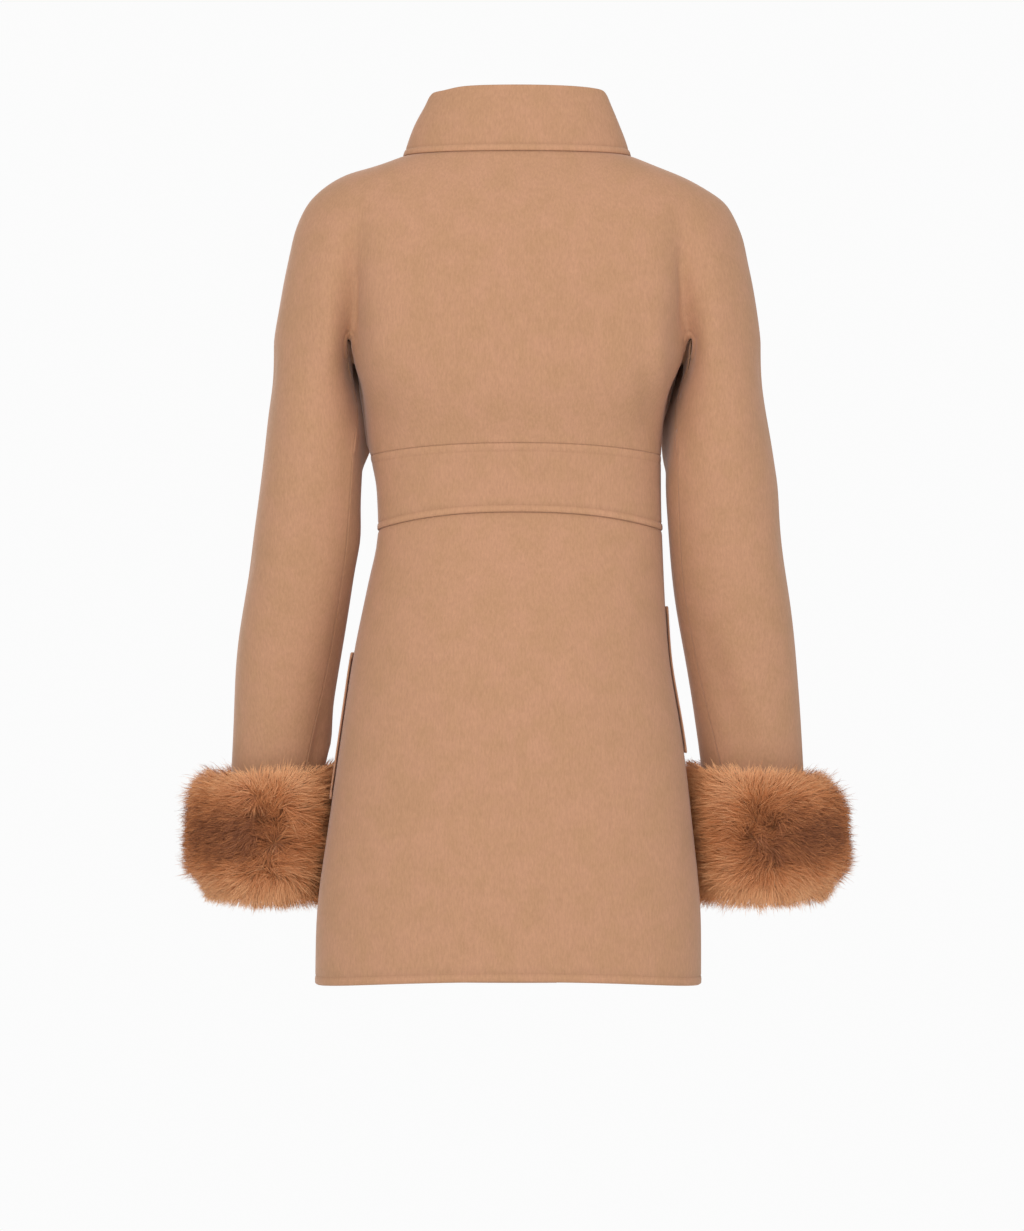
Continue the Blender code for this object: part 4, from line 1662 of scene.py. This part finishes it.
@dataclass
class Coat:
    """The whole coat."""

    wool: WoolFinish = WoolFinish("camel_wool", "wool")
    # a paler copy of the same wool: painted highlight on the pocket mouths' folded edges
    lit_edge_wool: WoolFinish = WoolFinish(
        "camel_wool_edge", "wool_trim", ochre=(0.52, 0.285, 0.165), rosy=(0.57, 0.305, 0.195)
    )

    def panels(self) -> list[ClothPanel]:
        """The cut pieces of cloth, from the neck down."""
        wool = self.wool.material()
        lit_edge_wool = self.lit_edge_wool.material()
        bodice = ("back", "front_left", "front_right")
        bands = ("waistband_back", "waistband_front_left", "waistband_front_right")
        skirts = ("skirt_back", "skirt_front_left", "skirt_front_right")
        pockets = ("pocket_edge_left", "pocket_edge_right")
        over_bodice = dict.fromkeys(bodice, Edge.LAP_OVER)
        bodice_meets = {"collar": Edge.LAP_UNDER, **dict.fromkeys(bands, Edge.BUTTED)}
        band_meets = {
            **dict.fromkeys(bodice, Edge.BAND_TOP),
            **dict.fromkeys(skirts, Edge.LAP_OVER),
        }
        skirt_meets = dict.fromkeys(bands, Edge.LAP_UNDER)
        made = [
            ClothPanel(
                "collar", (0.6, 0.075), 0.0427, ("back",), wool, meets=over_bodice,
                open_edge=Edge.ROLLED,
            ),
            ClothPanel(
                "back", (0.7, 0.79), 0.3138, ("front_left", "front_right"), wool,
                meets=bodice_meets,
            ),
            ClothPanel(
                "waistband_back", (0.35, 0.085), 0.0286, ("back",), wool, meets=band_meets
            ),
            ClothPanel(
                "skirt_back", (0.5, 0.48), 0.2197, ("waistband_back",), wool,
                meets=skirt_meets, not_sewn_to=pockets,
            ),
        ]
        fronts = {Side.LEFT: (0.2044, 0.0194, 0.1325), Side.RIGHT: (0.2085, 0.0195, 0.1283)}
        for side, areas in fronts.items():
            word, other = side.word, side.other.word
            apart = (f"front_{other}", f"waistband_front_{other}", f"skirt_front_{other}")
            made += [
                ClothPanel(
                    f"front_{word}", (0.44, 0.79), areas[0], ("back",), wool,
                    meets=bodice_meets, not_sewn_to=apart,
                ),
                ClothPanel(
                    f"waistband_front_{word}", (0.25, 0.085), areas[1], (f"front_{word}",), wool,
                    meets=band_meets, not_sewn_to=apart,
                ),
                ClothPanel(
                    f"skirt_front_{word}", (0.3, 0.48), areas[2], (f"waistband_front_{word}",),
                    wool, meets=skirt_meets, not_sewn_to=(*apart, *pockets),
                ),
            ]
        for side in Side:
            word = side.word
            made.append(
                ClothPanel(
                    "gusset_" + word, (0.078, 0.055), 0.0026, ("back",), wool,
                    meets=dict.fromkeys(bodice, Edge.SET_IN), sharpest_fold=70.0,
                    wall=1.2, stitched=False, faces_down=True, wave=0.0, smoothing=2,
                )
            )
            # the pocket mouths, in the paler wool that paints their highlight
            made.append(
                ClothPanel(
                    "pocket_edge_" + word, (0.024, 0.165), 0.0036, ("skirt_front_" + word,), lit_edge_wool,
                    slot="wool_trim", open_edge=Edge.ROLLED, not_sewn_to=(*skirts, *bands, *bodice),
                    wave=0.0, smoothing=2,
                )
            )
        return made

    def build(self) -> None:
        """Builds all the pieces in order."""
        noise.seed_set(TURN_SEED)
        panels = self.panels()
        trees = {panel.node: node_tree((panel.node,)) for panel in panels}
        rows = [Crease(view, *row) for view, rows in CREASES.items() for row in rows]
        creases = CreaseMap(rows, node_tree(tuple(trees)))
        stitches = Stitches(ThreadFinish().material())
        for panel in panels:
            report(panel.build(trees, creases, stitches))
        pelt = PeltFinish().material()
        hair = FurFinish().material()
        for side in Side:
            sleeve = node_tree(("back", "front_" + side.word))
            low_cut, high_cut = CUFF_CUTS[side]
            cuff = FurCuff(side, pelt, hair, low_cut=low_cut, high_cut=high_cut)
            report(cuff.build(sleeve))


def node_tree(names: tuple[str, ...]) -> BVHTree:
    """A search tree over some CAD nodes.

    Args:
        names: The nodes.

    Returns:
        One tree over all their faces.
    """
    shape = bmesh.new()
    for name in names:
        shape.from_mesh(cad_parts[name].data)
    tree = BVHTree.FromBMesh(shape)
    shape.free()
    return tree


def report(pieces: list[bpy.types.Object]) -> None:
    """Logs the faces of each finished piece.

    Args:
        pieces: The pieces.
    """
    for piece in pieces:
        LOG.info("%s: %d faces", piece.name, len(piece.data.polygons))


@dataclass
class Studio:
    """Pale floor, white backdrop, soft lights, and the camera behind the coat."""

    distance: float = 4.5
    across: float = 5.1
    level: float = -467.7
    lens: float = 129.02
    sensor: float = 36.0
    floor_level: float = -1420.0
    floor_radius: float = 2.1
    backdrop: float = 0.97
    ambience: float = 0.56
    daylight: Colour = (1.0, 0.99, 0.98)

    def build(self) -> None:
        """Builds the studio."""
        self.floor()
        self.world()
        self.lights()
        self.camera()
        bpy.context.scene.view_settings.view_transform = "Standard"

    def floor(self) -> None:
        """A round pale floor, not attached to the coat's body."""
        shape = bmesh.new()
        bmesh.ops.create_circle(shape, cap_ends=True, segments=96, radius=self.floor_radius)
        bmesh.ops.translate(shape, verts=shape.verts[:], vec=(0.0, 0.0, self.floor_level * MM))
        mesh = finished_mesh("floor", shape, FloorFinish().material())
        floor = bpy.data.objects.new("floor", mesh)
        bpy.context.scene.collection.objects.link(floor)

    def world(self) -> None:
        """Even white surroundings, brighter where the camera sees them."""
        world = bpy.data.worlds.new("studio")
        world.use_nodes = True
        tree = world.node_tree
        light = tree.nodes["Background"]
        light.inputs["Color"].default_value = (*self.daylight, 1.0)
        light.inputs["Strength"].default_value = self.ambience
        seen = tree.nodes.new("ShaderNodeBackground")
        seen.inputs["Color"].default_value = (1.0, 1.0, 1.0, 1.0)
        seen.inputs["Strength"].default_value = self.backdrop
        path = tree.nodes.new("ShaderNodeLightPath")
        mix = tree.nodes.new("ShaderNodeMixShader")
        tree.links.new(path.outputs["Is Camera Ray"], mix.inputs["Fac"])
        tree.links.new(light.outputs["Background"], mix.inputs[1])
        tree.links.new(seen.outputs["Background"], mix.inputs[2])
        tree.links.new(mix.outputs["Shader"], tree.nodes["World Output"].inputs["Surface"])
        bpy.context.scene.world = world

    def lights(self) -> None:
        """A broad key light, a fill beside it and a weak one on the far side."""
        self.light("key", (0.8, 3.3, 1.2), size=2.0, power=76.0)
        self.light("fill", (-2.8, 2.4, 0.2), size=2.2, power=22.0)
        self.light("far", (0.6, -3.2, 0.8), size=2.4, power=50.0)

    def light(self, name: str, place: Colour, size: float, power: float) -> None:
        """An area light aimed at the coat's middle.

        Args:
            name: The light's name.
            place: Where it stands, in metres.
            size: The side of its square, in metres.
            power: Its power in watts.
        """
        lamp = bpy.data.lights.new(name, "AREA")
        lamp.size = size
        lamp.energy = power
        carrier = bpy.data.objects.new(name, lamp)
        carrier.location = place
        aim = Vector((0.0, 0.0, self.level * MM)) - Vector(place)
        carrier.rotation_euler = aim.to_track_quat("-Z", "Y").to_euler()
        bpy.context.scene.collection.objects.link(carrier)

    def camera(self) -> None:
        """A level camera that looks at the coat's back, as in the photograph."""
        lens = bpy.data.cameras.new("camera")
        lens.lens = self.lens
        lens.sensor_width = self.sensor
        lens.clip_end = 50.0
        camera = bpy.data.objects.new("camera", lens)
        camera.location = (self.across * MM, self.distance, self.level * MM)
        camera.rotation_euler = (math.radians(90.0), 0.0, math.radians(180.0))
        bpy.context.scene.collection.objects.link(camera)
        bpy.context.scene.camera = camera


def main() -> None:
    """Builds the coat and its studio."""
    logging.basicConfig(level=logging.INFO, format="%(name)s: %(message)s")
    Coat().build()
    Studio().build()


if __name__ == "__main__":
    main()
